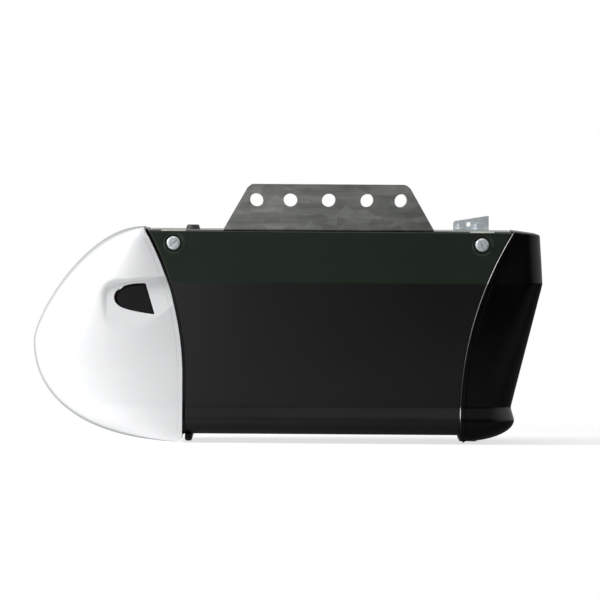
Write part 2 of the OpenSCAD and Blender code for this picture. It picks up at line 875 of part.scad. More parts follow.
// A hexagon washer head with its shank, standing on the plane z = 0
module hex_screw(r, shank_l, head_r) {
    cylinder(h = 0.8, r = head_r);
    cylinder(h = 4.5, r = head_r * 0.78, $fn = 6);
    translate([0, 0, -shank_l])
        cylinder(h = shank_l + 0.1, r = r);
}

module rail_screws() {
    color("silver") {
        for (x = rail_screw_xs, s = [-1, 1])
            translate([x, s * rail_screw_y, plate_top_z + sheet_t])
                hex_screw(rail_screw_r, 6, 5);
        for (s = [-1, 1])
            translate([spreader_screw_x, s * spreader_screw_y, plate_top_z + spreader_t])
                hex_screw(rail_screw_r, 6, 5);
    }
}

cover_screw_head_r = 5.4;

module cover_screws() {
    color("gray")
        both_sides()
            for (x = screw_xs)
                translate([x, side_y(screw_z, cover_base_z) - dimple_drop, screw_z])
                    rotate([-90, 0, 0])
                        hex_screw(screw_r, 5, cover_screw_head_r);
}

bushing_x = -78.1;
bushing_y = -60;
bushing_neck_r = 4.6;
bushing_head_r = 5.5;
cord_hole_r = 3.4;

module cord_bushing() {
    color([0.06, 0.06, 0.06])
        difference() {
            union() {
                rod_z(bushing_x, bushing_y, plate_z - 8, plate_top_z + 1, bushing_neck_r);
                translate([bushing_x, bushing_y, plate_top_z])
                    cylinder(h = 4, r1 = bushing_head_r + 0.6, r2 = bushing_head_r - 0.8);
                rod_z(bushing_x, bushing_y, plate_z - 3, plate_z, bushing_head_r);
            }
            rod_z(bushing_x, bushing_y, plate_z - 9, plate_top_z + 9, cord_hole_r);
        }
}

spreader_t = 3;
spreader_screw_x = shaft_x - 24;
spreader_screw_y = 42;
spreader_w = 100;

module chain_spreader() {
    color("ivory")
        difference() {
            union() {
                translate([shaft_x - 34, -spreader_w / 2, plate_top_z])
                    cube([24, spreader_w, spreader_t]);
                for (s = [-1, 1])
                    translate([shaft_x - 30, s * 34 - 3, plate_top_z])
                        cube([14, 6, 9]);
            }
            for (s = [-1, 1])
                rod_z(spreader_screw_x, s * spreader_screw_y, 170, 190, rail_screw_r);
            rod_z(shaft_x, 0, 170, 190, sprocket_root_r + 6);
        }
}

// ---- worm drive ----

shaft_low_z = 92;
shaft_top_z = 191.5;
bushing_r = shaft_r + 3;
sprocket_z = 182;
sprocket_t = 7;
roller_r = 4;
sprocket_pitch_r = chain_pitch / 2 / sin(180 / sprocket_teeth);
sprocket_root_r = sprocket_pitch_r - roller_r;
key_r = 1.6;

module sprocket() {
    color("dimgray")
        difference() {
            union() {
                translate([0, 0, sprocket_z])
                    linear_extrude(sprocket_t)
                        difference() {
                            translate([shaft_x, 0])
                                circle(r = sprocket_pitch_r + 1.6, $fn = 64);
                            for (i = [0:sprocket_teeth - 1])
                                translate([
                                    shaft_x + sprocket_pitch_r * cos(i * 360 / sprocket_teeth),
                                    sprocket_pitch_r * sin(i * 360 / sprocket_teeth)])
                                    circle(r = roller_r, $fn = 24);
                        }
                rod_z(shaft_x, 0, sprocket_z - 3, sprocket_z + sprocket_t, 14);
            }
            rod_z(shaft_x, 0, 170, 200, shaft_r);
        }
}

module retaining_ring() {
    color("silver")
        translate([shaft_x, 0, sprocket_z + sprocket_t])
            difference() {
                cylinder(h = 1, r = shaft_r + 2.5);
                translate([0, 0, -1])
                    cylinder(h = 3, r = shaft_r);
            }
}

module drive_shaft() {
    color("lightgray")
        difference() {
            rod_z(shaft_x, 0, shaft_low_z, shaft_top_z, shaft_r);
            rod_y(shaft_x, -20, 20, gear_z - gear_face / 2 - 4, key_r);
        }
}

gear_r = gear_teeth * gear_module / 2;
gear_tip_r = gear_r + 0.55;
gear_root_r = gear_r - 3.2;
worm_tip_r = worm_pitch_r + 2.3;
worm_root_r = worm_pitch_r - 1.2;
worm_starts = 2;
worm_lead = worm_starts * PI * gear_module;
worm_y = -(gear_r + worm_pitch_r);
lead_angle = atan(worm_lead / (2 * PI * worm_pitch_r));
gear_twist = gear_face * tan(lead_angle) / gear_r * 180 / PI;
tooth_root = 0.36;
tooth_tip = 0.22;

// One ring of slender teeth, the first gap facing the worm
module gear_outline() {
    step = 360 / gear_teeth;
    polygon([for (i = [0:gear_teeth - 1])
        let (a = -90 + (i + 0.5) * step)
        each [
            for (p = [[gear_root_r, -tooth_root], [gear_tip_r, -tooth_tip],
                      [gear_tip_r, tooth_tip], [gear_root_r, tooth_root]])
                p[0] * [cos(a + p[1] * step / 1.2), sin(a + p[1] * step / 1.2)]]]);
}

module drive_gear() {
    color("ivory")
        difference() {
            union() {
                translate([shaft_x, 0, gear_z - gear_face / 2])
                    rotate([0, 0, gear_twist / 2])
                        linear_extrude(gear_face, twist = gear_twist, slices = 3)
                            gear_outline();
                rod_z(shaft_x, 0, bracket_base_z + bracket_t + 2 + gap,
                    gear_z + gear_face / 2 + 4, 12);
            }
            rod_z(shaft_x, 0, 90, 140, shaft_r);
            rod_y(shaft_x, -20, 20, gear_z - gear_face / 2 - 4, key_r);
            for (s = [0, 1])
                translate([0, 0, s == 0 ? gear_z - gear_face / 2 - 1 : gear_z + gear_face / 2 - 4])
                    difference() {
                        rod_z(shaft_x, 0, 0, 5, gear_root_r - 4);
                        rod_z(shaft_x, 0, -1, 6, 12);
                    }
        }
}

module gear_pin() {
    color("silver")
        rod_y(shaft_x, -12, 12, gear_z - gear_face / 2 - 4, key_r);
}

bracket_base_z = 97;
bracket_t = 3;
leg_x0 = shaft_x - 37;
leg_x1 = shaft_x + 37;

module shaft_bushings() {
    color([0.7, 0.55, 0.3])
        difference() {
            union() {
                rod_z(shaft_x, 0, plate_z - 6, plate_top_z, bushing_r);
                rod_z(shaft_x, 0, plate_top_z, plate_top_z + 2, bushing_r + 4);
                rod_z(shaft_x, 0, bracket_base_z, bracket_base_z + bracket_t, bushing_r);
                rod_z(shaft_x, 0, bracket_base_z + bracket_t, bracket_base_z + bracket_t + 2,
                    bushing_r + 2);
            }
            rod_z(shaft_x, 0, 90, 190, shaft_r + run);
        }
}

carrier_x = shaft_x + 26;
carrier_t = 5;

module gear_bracket() {
    color("gray")
        difference() {
            union() {
                box([leg_x0, worm_y - 14, bracket_base_z],
                    [leg_x1, 28, bracket_base_z + bracket_t]);
                for (x = [leg_x0, leg_x1 - bracket_t])
                    box([x, -18, bracket_base_z], [x + bracket_t, 28, plate_z]);
                for (x = [leg_x0 - 10, leg_x1 - bracket_t])
                    box([x, -18, plate_z - bracket_t], [x + 10 + bracket_t, 28, plate_z]);
                box([carrier_x, worm_y - 14, bracket_base_z],
                    [carrier_x + carrier_t, worm_y + 14, gear_z + 12]);
            }
            rod_z(shaft_x, 0, 90, 110, bushing_r);
            rod_x(carrier_x - 1, carrier_x + carrier_t + 1, worm_y, gear_z, motor_shaft_r + run);
        }
}

worm_x0 = shaft_x - worm_l / 2;
worm_turn = 360 * worm_l / worm_lead;

module worm_outline() {
    polygon([for (i = [0:23])
        let (
            a = i * 15,
            lobe = abs(((a + 90) % 180) - 90)
        )
        (lobe < 20 ? worm_tip_r : lobe < 40 ? worm_pitch_r : worm_root_r) * [cos(a), sin(a)]]);
}

module worm() {
    color("lightgray")
        difference() {
            translate([worm_x0, worm_y, gear_z])
                rotate([0, 90, 0])
                    rotate([0, 0, 90 + worm_turn / 2])
                        linear_extrude(worm_l, twist = worm_turn, slices = 28)
                            worm_outline();
            rod_x(worm_x0 - 1, worm_x0 + worm_l + 1, worm_y, gear_z, motor_shaft_r);
        }
}

// ---- motor ----

stator_x1 = shaft_x - 62;
stator_x0 = stator_x1 - stator_l;
rotor_r = 24;
motor_rear_x = stator_x0 - bell_l;
motor_front_x = stator_x1 + bell_l;
shaft_rear_x = motor_rear_x - 6;
bolt_place = stator_w / 2 - 10;

// The stack's square with its corners rounded off
module stator_blank() {
    intersection() {
        square(stator_w, center = true);
        circle(r = stator_w * 0.61, $fn = 64);
    }
}

module stator_outline() {
    difference() {
        stator_blank();
        circle(r = rotor_r + 1);
    }
}

module motor_stator() {
    color([0.45, 0.46, 0.48])
        difference() {
            translate([stator_x0, worm_y, gear_z])
                rotate([90, 0, 90])
                    linear_extrude(stator_l)
                        stator_outline();
            for (s = [-1, 1], t = [-1, 1])
                rod_x(stator_x0 - 1, stator_x1 + 1, worm_y + s * bolt_place,
                    gear_z + t * bolt_place, 2.2);
        }
}

module motor_windings() {
    color([0.72, 0.4, 0.2])
        for (x = [stator_x0 - 13, stator_x1])
            translate([x, worm_y, gear_z])
                rotate([0, 90, 0])
                    difference() {
                        cylinder(h = 13, r = 36);
                        translate([0, 0, -1])
                            cylinder(h = 15, r = rotor_r + 1);
                    }
}

module motor_bells() {
    color("silver")
        difference() {
            for (s = [0, 1])
                translate([s == 0 ? stator_x0 : stator_x1, worm_y, gear_z])
                    mirror([s == 0 ? 1 : 0, 0, 0])
                        rotate([0, 90, 0])
                            difference() {
                                union() {
                                    cylinder(h = bell_l, r = bell_r);
                                    linear_extrude(6)
                                        stator_blank();
                                }
                                translate([0, 0, -1])
                                    cylinder(h = bell_l - 2, r = bell_r - 4);
                            }
            rod_x(motor_rear_x - 1, motor_front_x + 1, worm_y, gear_z, motor_shaft_r + run);
            for (s = [-1, 1], t = [-1, 1])
                rod_x(stator_x0 - 8, stator_x1 + 8, worm_y + s * bolt_place,
                    gear_z + t * bolt_place, 2.2);
        }
}

module motor_bolts() {
    color("dimgray")
        for (s = [-1, 1], t = [-1, 1]) {
            rod_x(stator_x0 - 9, stator_x1 + 9, worm_y + s * bolt_place, gear_z + t * bolt_place,
                2.2);
            rod_x(stator_x1 + 6, stator_x1 + 9, worm_y + s * bolt_place, gear_z + t * bolt_place, 4);
            rod_x(stator_x0 - 9, stator_x0 - 6, worm_y + s * bolt_place, gear_z + t * bolt_place, 4);
        }
}

module motor_rotor() {
    color("gray")
        difference() {
            rod_x(stator_x0 - 2, stator_x1 + 2, worm_y, gear_z, rotor_r);
            rod_x(stator_x0 - 3, stator_x1 + 3, worm_y, gear_z, motor_shaft_r);
        }
}

module motor_shaft() {
    color("lightgray")
        rod_x(shaft_rear_x, carrier_x + carrier_t + 2, worm_y, gear_z, motor_shaft_r);
}

module motor_mounts() {
    color("darkgray")
        for (x = [stator_x0 + 4, stator_x1 - 16])
            difference() {
                box([x, worm_y - 34, gear_z + stator_w / 2], [x + 12, worm_y + 34, plate_z]);
                box([x + sheet_t, worm_y - 35, gear_z + stator_w / 2 + sheet_t],
                    [x + 13, worm_y + 35, plate_z - sheet_t]);
            }
}

cup_r = 14;

module rpm_cup() {
    color([0.1, 0.1, 0.1])
        difference() {
            rod_x(shaft_rear_x, motor_rear_x - gap, worm_y, gear_z, cup_r);
            rod_x(shaft_rear_x - 1, motor_rear_x + 1, worm_y, gear_z, motor_shaft_r);
            difference() {
                rod_x(shaft_rear_x - 1, motor_rear_x - 2, worm_y, gear_z, cup_r - 1.5);
                rod_x(shaft_rear_x - 2, motor_rear_x, worm_y, gear_z, motor_shaft_r + 2);
            }
            for (a = [0, 60, 120])
                translate([shaft_rear_x - 1, worm_y, gear_z])
                    rotate([a, 0, 0])
                        translate([0, -2, -cup_r - 1])
                            cube([4, 4, 2 * cup_r + 2]);
        }
}

module rpm_sensor() {
    color([0.15, 0.15, 0.2])
        difference() {
            box([rear_wall_x + sheet_t, worm_y - 6, gear_z - cup_r - 12],
                [motor_rear_x - 1, worm_y + 6, gear_z - cup_r - gap]);
            box([rear_wall_x + sheet_t + 3, worm_y - 7, gear_z - cup_r - 5],
                [motor_rear_x - 2.5, worm_y + 7, gear_z]);
        }
}

// ---- electrics ----

cap_can_r = 17;
cap_can_y = 62;
cap_can_z = plate_z - cap_can_r - 2;

module capacitor() {
    color([0.1, 0.1, 0.12])
        union() {
            rod_x(20, 92, cap_can_y, cap_can_z, cap_can_r);
            for (s = [-1, 1])
                box([92, cap_can_y + s * 6 - 1, cap_can_z - 3], [99, cap_can_y + s * 6 + 1,
                    cap_can_z + 3]);
        }
}

module capacitor_strap() {
    color("silver")
        union() {
            difference() {
                rod_x(50, 62, cap_can_y, cap_can_z, cap_can_r + 1.2);
                rod_x(49, 63, cap_can_y, cap_can_z, cap_can_r);
            }
            box([50, cap_can_y - 30, plate_z - 1.2], [62, cap_can_y + 30, plate_z]);
        }
}

module transformer() {
    x0 = rear_wall_x + sheet_t;
    color([0.3, 0.3, 0.32])
        union() {
            box([x0, 26, 24], [x0 + 30, 66, 60]);
            box([x0, 18, 36], [x0 + 2, 74, 48]);
        }
    color([0.75, 0.6, 0.2])
        box([x0 + 4, 33, 60], [x0 + 26, 59, 68]);
}

socket_r = 19;
socket_pad_r = socket_r + 4;
socket_x = rear_edge(lamp_z + socket_pad_r) - panel_t - 0.5;
socket_l = 22;
base_r = 13;

module lamp_socket() {
    color("white")
        difference() {
            rod_x(socket_x - socket_l, socket_x, 0, lamp_z, socket_r);
            rod_x(socket_x - socket_l - 1, socket_x - 3, 0, lamp_z, base_r + 1.6);
        }
}

module socket_shell() {
    color([0.8, 0.65, 0.3])
        difference() {
            rod_x(socket_x - socket_l + 1, socket_x - 3, 0, lamp_z, base_r + 1.6);
            rod_x(socket_x - socket_l, socket_x - 3.6, 0, lamp_z, base_r + 0.3);
        }
}

bulb_base_x = socket_x - 4;
bulb_base_l = 24;
bulb_room = 8.9;
bulb_l = bulb_base_x - nose_x - lens_wall - bulb_room;

module bulb_base() {
    color("silver")
        union() {
            rod_x(bulb_base_x - bulb_base_l, bulb_base_x - 3, 0, lamp_z, base_r);
            rod_x(bulb_base_x - 4, bulb_base_x, 0, lamp_z, 6);
        }
}

module bulb_glass() {
    color([0.97, 0.97, 0.95])
        translate([bulb_base_x - bulb_base_l, 0, lamp_z])
            rotate([0, -90, 0])
                rotate_extrude()
                    polygon(concat(
                        [[0, 0], [base_r + 0.5, 0]],
                        [for (i = [1:5]) [
                            blend(base_r + 0.5, bulb_r * cos(20), (1 - cos(i * 30)) / 2),
                            i / 6 * (bulb_l - bulb_base_l - bulb_r * (1 + sin(20)))]],
                        [for (a = [-20:10:90])
                            [a == 90 ? 0 : bulb_r * cos(a), bulb_l - bulb_base_l - bulb_r + bulb_r * sin(a)]]));
}

// ---- control panel on the left side, square to the cover's sloping face ----

slope = atan((crease_w - pinch_w) / 2 / (crease_z - pinch_z));
control_x = -20;
control_z = 86;
port_w = 78;
port_h = 52;
bezel_t = 1.6;
port_floor = 2;
button_r = 4.5;
button_xs = [-8, 8, 24];
button_h = 9;
learn_h = 9;
learn_x = -26;
led_h = 21;
led_r = 2.4;

// Local frame of the control panel: X along the head, Y outwards, Z up the slope
module control_place() {
    translate([control_x, side_y(control_z, cover_base_z), control_z])
        rotate([-slope, 0, 0])
            children();
}

module control_panel() {
    color([0.09, 0.09, 0.1])
        control_place()
            difference() {
                union() {
                    translate([-port_w / 2 - 4, 0, -port_h / 2 - 4])
                        cube([port_w + 8, bezel_t, port_h + 8]);
                    translate([-port_w / 2 + gap, -14, -port_h / 2 + gap])
                        cube([port_w - 2 * gap, 14.1, port_h - 2 * gap]);
                }
                translate([-port_w / 2 + 2, -15, -port_h / 2 + 2])
                    cube([port_w - 4, 15 - port_floor, port_h - 4]);
                for (x = button_xs)
                    rod_y(x, -5, 5, button_h, button_r + 0.4);
                rod_y(learn_x, -5, 5, learn_h, button_r + 0.4);
                rod_y(learn_x, -5, 5, led_h, led_r + 0.1);
                translate([-22, -5, -20])
                    cube([44, 10, 12]);
            }
}

module button_at(x, z) {
    control_place()
        translate([x, 0, z])
            rotate([-90, 0, 0])
                union() {
                    translate([0, 0, -11])
                        cylinder(h = 11 + bezel_t + 0.8, r = button_r);
                    translate([0, 0, -port_floor - gap - 3])
                        cylinder(h = 3, r = button_r + 2);
                }
}

module learn_button() { color("gold") button_at(learn_x, learn_h); }
module up_button() { color("dimgray") button_at(button_xs[0], button_h); }
module set_button() { color("dimgray") button_at(button_xs[1], button_h); }
module down_button() { color("dimgray") button_at(button_xs[2], button_h); }

module status_led() {
    color([0.9, 0.9, 0.6])
        control_place()
            rod_y(learn_x, -14, bezel_t, led_h, led_r);
}

module terminal_block() {
    color([0.85, 0.85, 0.82])
        control_place()
            difference() {
                translate([-21.6, -12, -19.6])
                    cube([43.2, 13, 11.2]);
                for (i = [0:3])
                    rod_y(-15 + i * 10, -2, 3, -14, 1.6);
            }
}

module logic_board() {
    color([0.1, 0.35, 0.2])
        control_place()
            translate([-48, -15.9, -34])
                cube([96, 1.6, 68]);
}

module board_parts() {
    color([0.2, 0.2, 0.22])
        control_place() {
            translate([-40, -32, -28])
                cube([16, 16.1, 20]);
            translate([-18, -32, -28])
                cube([16, 16.1, 20]);
            rod_y(14, -34, -15.9, 12, 8);
            translate([-12, -14.3, 4.6])
                cube([40, 2, 8]);
            translate([-14, -14.3, -19])
                cube([28, 2.3, 10]);
        }
}

chassis();
cover();
lamp_panel();
light_lens();
lens_hinge_pins();
release_tab_right();
release_tab_left();
end_cap();
cap_screws();
rear_wall();
front_wall();
rail_bracket();
rail_screws();
cover_screws();
cord_bushing();
chain_spreader();
sprocket();
retaining_ring();
drive_shaft();
drive_gear();
gear_pin();
shaft_bushings();
gear_bracket();
worm();
motor_shaft();
motor_rotor();
motor_stator();
motor_windings();
motor_bells();
motor_bolts();
motor_mounts();
rpm_cup();
rpm_sensor();
capacitor();
capacitor_strap();
transformer();
lamp_socket();
socket_shell();
bulb_base();
bulb_glass();
control_panel();
logic_board();
board_parts();
learn_button();
up_button();
set_button();
down_button();
status_led();
terminal_block();
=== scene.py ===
from math import radians

import bmesh
import bpy
import numpy as np
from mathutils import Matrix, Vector


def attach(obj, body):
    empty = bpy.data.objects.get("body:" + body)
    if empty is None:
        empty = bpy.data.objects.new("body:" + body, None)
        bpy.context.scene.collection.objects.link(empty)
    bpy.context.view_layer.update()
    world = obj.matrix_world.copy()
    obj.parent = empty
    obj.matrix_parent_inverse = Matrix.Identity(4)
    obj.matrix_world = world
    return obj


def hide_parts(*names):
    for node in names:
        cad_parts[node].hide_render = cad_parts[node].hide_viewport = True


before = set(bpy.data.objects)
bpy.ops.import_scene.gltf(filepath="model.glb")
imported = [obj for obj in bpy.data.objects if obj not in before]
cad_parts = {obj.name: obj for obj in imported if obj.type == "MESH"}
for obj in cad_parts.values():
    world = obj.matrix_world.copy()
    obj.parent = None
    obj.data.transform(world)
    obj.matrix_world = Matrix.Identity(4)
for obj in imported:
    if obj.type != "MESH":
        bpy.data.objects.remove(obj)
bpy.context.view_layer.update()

# ---- Chassis: plate, hanging flanges and end walls ----
# One galvanised sheet with its two long edges folded up into hanging flanges, and four
# short tabs folded down for the cover's screws. The end walls are spot welded under it.
# The zinc coating shows as large dull crystals, rubbed into streaks along the sheet.

crystal_size = 6.0      # mm across one zinc crystal
sheet_edge = 0.25       # mm, the rounding of a sheared edge


def shader_group(name, inputs, outputs):
    """An empty shader node group with named sockets, and its first and last node."""
    tree = bpy.data.node_groups.new(name, "ShaderNodeTree")
    for way, sockets in (("INPUT", inputs), ("OUTPUT", outputs)):
        for label, kind in sockets:
            tree.interface.new_socket(name=label, in_out=way, socket_type="NodeSocket" + kind)
    return tree, tree.nodes.new("NodeGroupInput"), tree.nodes.new("NodeGroupOutput")


def wire(tree, value, socket):
    """Feeds a socket from another one or a node's first output, or sets it to a value."""
    if isinstance(value, bpy.types.Node):
        value = value.outputs[0]
    if isinstance(value, bpy.types.NodeSocket):
        tree.links.new(value, socket)
    else:
        socket.default_value = value


def add(tree, kind, *fed, **named):
    """Adds one node. What is fed goes to its sockets in order, and a capitalised keyword to
    the socket of that name. A lower case keyword sets a property."""
    node = tree.nodes.new("ShaderNode" + kind)
    for key in [key for key in named if key.islower()]:
        setattr(node, key, named.pop(key))
    for value, socket in zip(fed, node.inputs):
        wire(tree, value, socket)
    for key, value in named.items():
        wire(tree, value, node.inputs[key.replace("_", " ")])
    return node


def on_object(tree):
    """The place on the object."""
    return add(tree, "TexCoord").outputs["Object"]


def ramp(tree, value, low, high, start=0.0, end=1.0, kind="LINEAR"):
    """A change from start to end while a value goes from low to high."""
    return add(tree, "MapRange", value, low, high, start, end, interpolation_type=kind)


def mixed(tree, share, first, second):
    """A colour that is a share of the way from the first to the second."""
    return add(tree, "Mix", Factor=share, A=first, B=second, data_type="RGBA").outputs["Result"]


def surface_group():
    """Colour, roughness and normal that wander a little over any worked surface: a slow
    noise tints the colour and the gloss, and a fine one raises the grain."""
    tree, start, end = shader_group(
        "worked_surface",
        [("Base", "Color"), ("Tint", "Color"), ("Patch Scale", "Float"), ("Low Gloss", "Float"),
         ("High Gloss", "Float"), ("Grain Scale", "Float"), ("Grain Height", "Float"),
         ("Stretch", "Vector")],
        [("Color", "Color"), ("Roughness", "Float"), ("Normal", "Vector")])
    given = start.outputs
    drawn = add(tree, "VectorMath", on_object(tree), given["Stretch"], operation="MULTIPLY")
    patches = add(tree, "TexNoise", drawn, Scale=given["Patch Scale"], Detail=3.0, Roughness=0.6)
    spread = ramp(tree, patches, 0.3, 0.7)
    grain = add(tree, "TexNoise", drawn, Scale=given["Grain Scale"], Detail=2.0)
    bump = add(tree, "Bump", Strength=given["Grain Height"], Distance=0.001, Height=grain)
    gloss = ramp(tree, spread, 0.0, 1.0, given["Low Gloss"], given["High Gloss"])
    colour = mixed(tree, spread, given["Base"], given["Tint"])
    for value, socket in zip((colour, gloss, bump), end.inputs):
        wire(tree, value, socket)
    return tree


worked_surface = surface_group()


def finish(name, base, tint, gloss=(0.35, 0.5), patch=30.0, grain=(2000.0, 0.05),
           stretch=(1, 1, 1), metal=0.0, **shader_values):
    """A material of one colour that wanders towards tint, with its grain and gloss."""
    made = bpy.data.materials.new(name)
    made.use_nodes = True
    tree = made.node_tree
    shader = tree.nodes["Principled BSDF"]
    shader.inputs["Metallic"].default_value = metal
    for key, value in shader_values.items():
        wire(tree, value, shader.inputs[key.replace("_", " ")])
    worked = add(tree, "Group", (*base, 1), (*tint, 1), patch, *gloss, *grain, stretch,
                 node_tree=worked_surface)
    for label, source in zip(("Base Color", "Roughness", "Normal"), worked.outputs):
        wire(tree, source, shader.inputs[label])
    return made


def opened(made):
    """A finish's node tree, and the sockets that carry its colour and normal so far."""
    sockets = made.node_tree.nodes["Principled BSDF"].inputs
    return made.node_tree, *(sockets[label].links[0].from_socket
                             for label in ("Base Color", "Normal"))


def rewired(made, label, source):
    """The finish with one socket of its shader fed from elsewhere."""
    wire(made.node_tree, source, made.node_tree.nodes["Principled BSDF"].inputs[label])
    return made


def galvanised():
    """Dull zinc: cells of random brightness, drawn out along the sheet, under faint streaks."""
    made = finish("galvanised_sheet", (0.31, 0.325, 0.3), (0.45, 0.455, 0.42), gloss=(0.42, 0.6),
                  patch=55.0, grain=(900.0, 0.05), stretch=(0.35, 1, 1), metal=0.85)
    tree, plain, _ = opened(made)
    drawn = add(tree, "Mapping", on_object(tree), Scale=(0.6, 1, 1))
    crystals = add(tree, "TexVoronoi", drawn, Scale=1000 / crystal_size)
    tone = ramp(tree, crystals.outputs["Color"], 0.0, 1.0, 0.78, 1.16)
    long_way = add(tree, "Mapping", on_object(tree), Scale=(0.5, 2, 9))
    streaks = add(tree, "TexNoise", long_way, Scale=14.0, Detail=5.0, Roughness=0.7)
    rub = ramp(tree, streaks, 0.35, 0.7, 0.8, 1.25)
    both = add(tree, "Math", tone, rub, operation="MULTIPLY")
    return rewired(made, "Base Color",
                   add(tree, "VectorMath", plain, Scale=both, operation="SCALE"))


def shaded(mesh, angle, material):
    """Makes a mesh smooth but for edges sharper than the angle, all in one material."""
    mesh.polygons.foreach_set("use_smooth", np.ones(len(mesh.polygons), bool))
    mesh.set_sharp_from_angle(angle=radians(angle))
    mesh.materials.clear()
    mesh.materials.append(material)


def placed(name, data):
    """A new object in the scene."""
    made = bpy.data.objects.new(name, data)
    bpy.context.scene.collection.objects.link(made)
    return made


def softened(node, body, material, edge=sheet_edge, steps=2):
    """A copy of a CAD piece with its triangles merged into whole faces and every sharp
    edge rounded, which then stands for the CAD piece."""
    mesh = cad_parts[node].data.copy()
    work = bmesh.new()
    work.from_mesh(mesh)
    bmesh.ops.remove_doubles(work, verts=work.verts, dist=1e-6)
    bmesh.ops.dissolve_limit(work, angle_limit=radians(0.6), verts=work.verts,
                             edges=work.edges)
    work.to_mesh(mesh)
    work.free()
    for label in [a.name for a in mesh.attributes if a.name in ("custom_normal", "sharp_edge")]:
        mesh.attributes.remove(mesh.attributes[label])
    shaded(mesh, 30, material)
    piece = placed(node + "_finished", mesh)
    if edge:
        bevel = piece.modifiers.new("edges", "BEVEL")
        bevel.width = edge / 1000
        bevel.segments = steps
        bevel.limit_method = "ANGLE"
        bevel.angle_limit = radians(30)
        bevel.harden_normals = True
    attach(piece, body)
    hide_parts(node)
    return piece


zinc_sheet = galvanised()
for part in ("chassis", "rear_wall", "front_wall", "gear_bracket", "motor_mounts"):
    softened(part, "head", zinc_sheet)

# ---- Rail bracket and its screws ----
# A small bright zinc plated bracket that holds the end of the rail on the chassis plate.
# Two hexagon screws go through each foot, with their nuts under the plate.

bright_zinc = finish("bright_zinc", (0.68, 0.74, 0.78), (0.8, 0.85, 0.87), gloss=(0.18, 0.34),
                     patch=90.0, grain=(1500.0, 0.03), metal=0.3)
for part in ("rail_bracket", "rail_screws", "capacitor_strap"):
    softened(part, "head", bright_zinc)

# ---- Chain drive: sprocket, shaft, gear and bushings ----
# The sprocket turns on a steel shaft that comes up through the chassis plate. Under it a
# moulded nylon gear is pinned to the same shaft, which runs in two bronze bushings.

turned_steel = finish("turned_steel", (0.42, 0.42, 0.44), (0.54, 0.54, 0.55), gloss=(0.25, 0.4),
                      patch=120.0, grain=(1200.0, 0.06), stretch=(1, 1, 6), metal=1.0)
nylon = finish("natural_nylon", (0.8, 0.77, 0.66), (0.86, 0.84, 0.76), gloss=(0.35, 0.5),
               patch=60.0, grain=(900.0, 0.04), Subsurface_Weight=0.15)
bronze = finish("sintered_bronze", (0.5, 0.36, 0.18), (0.62, 0.47, 0.27), gloss=(0.4, 0.55),
                patch=200.0, grain=(3000.0, 0.12), metal=1.0)
for part in ("sprocket", "drive_shaft", "gear_pin", "retaining_ring"):
    softened(part, "drive", turned_steel, edge=0.3)
softened("drive_gear", "drive", nylon, edge=0)
softened("chain_spreader", "head", nylon, edge=0.4)
softened("shaft_bushings", "head", bronze, edge=0.3)

# ---- Motor with its worm, and the speed sensor ----
# A stack of iron laminations with die cast bells drawn together by four long bolts. The
# windings are enamelled copper, and a slotted plastic cup behind them counts the turns.


def laminated():
    """Iron laminations seen from the side: fine dark lines square to the shaft."""
    made = finish("laminated_iron", (0.13, 0.13, 0.14), (0.2, 0.19, 0.19), gloss=(0.4, 0.6),
                  patch=80.0, grain=(800.0, 0.05), metal=0.7)
    tree, _, grain = opened(made)
    lines = add(tree, "TexWave", on_object(tree), Scale=320.0, Distortion=0.1).outputs["Fac"]
    return rewired(made, "Normal", add(tree, "Bump", Strength=0.5, Distance=0.0003,
                                       Height=lines, Normal=grain))


def wound():
    """Enamelled wire laid round the shaft: rings of thin ridges, broken up by a noise."""
    made = finish("enamelled_copper", (0.42, 0.14, 0.05), (0.6, 0.25, 0.09), gloss=(0.2, 0.35),
                  patch=150.0, grain=(600.0, 0.2), metal=0.8)
    tree = made.node_tree
    centred = add(tree, "Mapping", on_object(tree), Location=(0, 0.038, -0.118))
    rings = add(tree, "TexWave", centred, Scale=260.0, Distortion=3.0, wave_type="RINGS",
                rings_direction="X").outputs["Fac"]
    return rewired(made, "Normal", add(tree, "Bump", Strength=0.9, Distance=0.0006,
                                       Height=rings))


iron = laminated()
cast_metal = finish("die_cast", (0.5, 0.5, 0.52), (0.62, 0.62, 0.63), gloss=(0.4, 0.6),
                    patch=70.0, grain=(1500.0, 0.15), metal=0.9)
matt_plastic = finish("matt_black_plastic", (0.02, 0.02, 0.022), (0.035, 0.035, 0.037),
                      gloss=(0.45, 0.6), patch=60.0, grain=(2500.0, 0.12))
softened("motor_stator", "head", iron, edge=0.4)
softened("transformer", "head", iron, edge=0.5)
softened("motor_bells", "head", cast_metal, edge=0.8, steps=3)
softened("motor_windings", "head", wound(), edge=1.5, steps=4)
softened("motor_bolts", "head", turned_steel)
softened("motor_rotor", "rotor", iron)
softened("motor_shaft", "rotor", turned_steel, edge=0.5)
softened("worm", "rotor", turned_steel, edge=0)
softened("rpm_cup", "rotor", matt_plastic)
softened("rpm_sensor", "head", matt_plastic)
softened("capacitor", "head", matt_plastic, edge=1.0, steps=4)
softened("cord_bushing", "head", matt_plastic, edge=0.5, steps=3)

# ---- Logic board and control panel ----
# The board hangs behind a matt plastic panel let into the left side of the cover. The
# panel holds four push buttons, a status light and the block for the bell wires.


def circuit_board():
    """Green solder mask over square copper tracks, from two sets of blocks."""
    made = finish("solder_mask", (0.012, 0.11, 0.045), (0.02, 0.15, 0.06), gloss=(0.25, 0.35),
                  patch=60.0, grain=(900.0, 0.05))
    tree, plain, _ = opened(made)
    tracks = add(tree, "TexVoronoi", on_object(tree), Scale=220.0, distance="CHEBYCHEV",
                 feature="DISTANCE_TO_EDGE")
    line = add(tree, "Math", tracks, 0.08, operation="LESS_THAN")
    return rewired(made, "Base Color", mixed(tree, line, plain, (0.05, 0.26, 0.11, 1)))


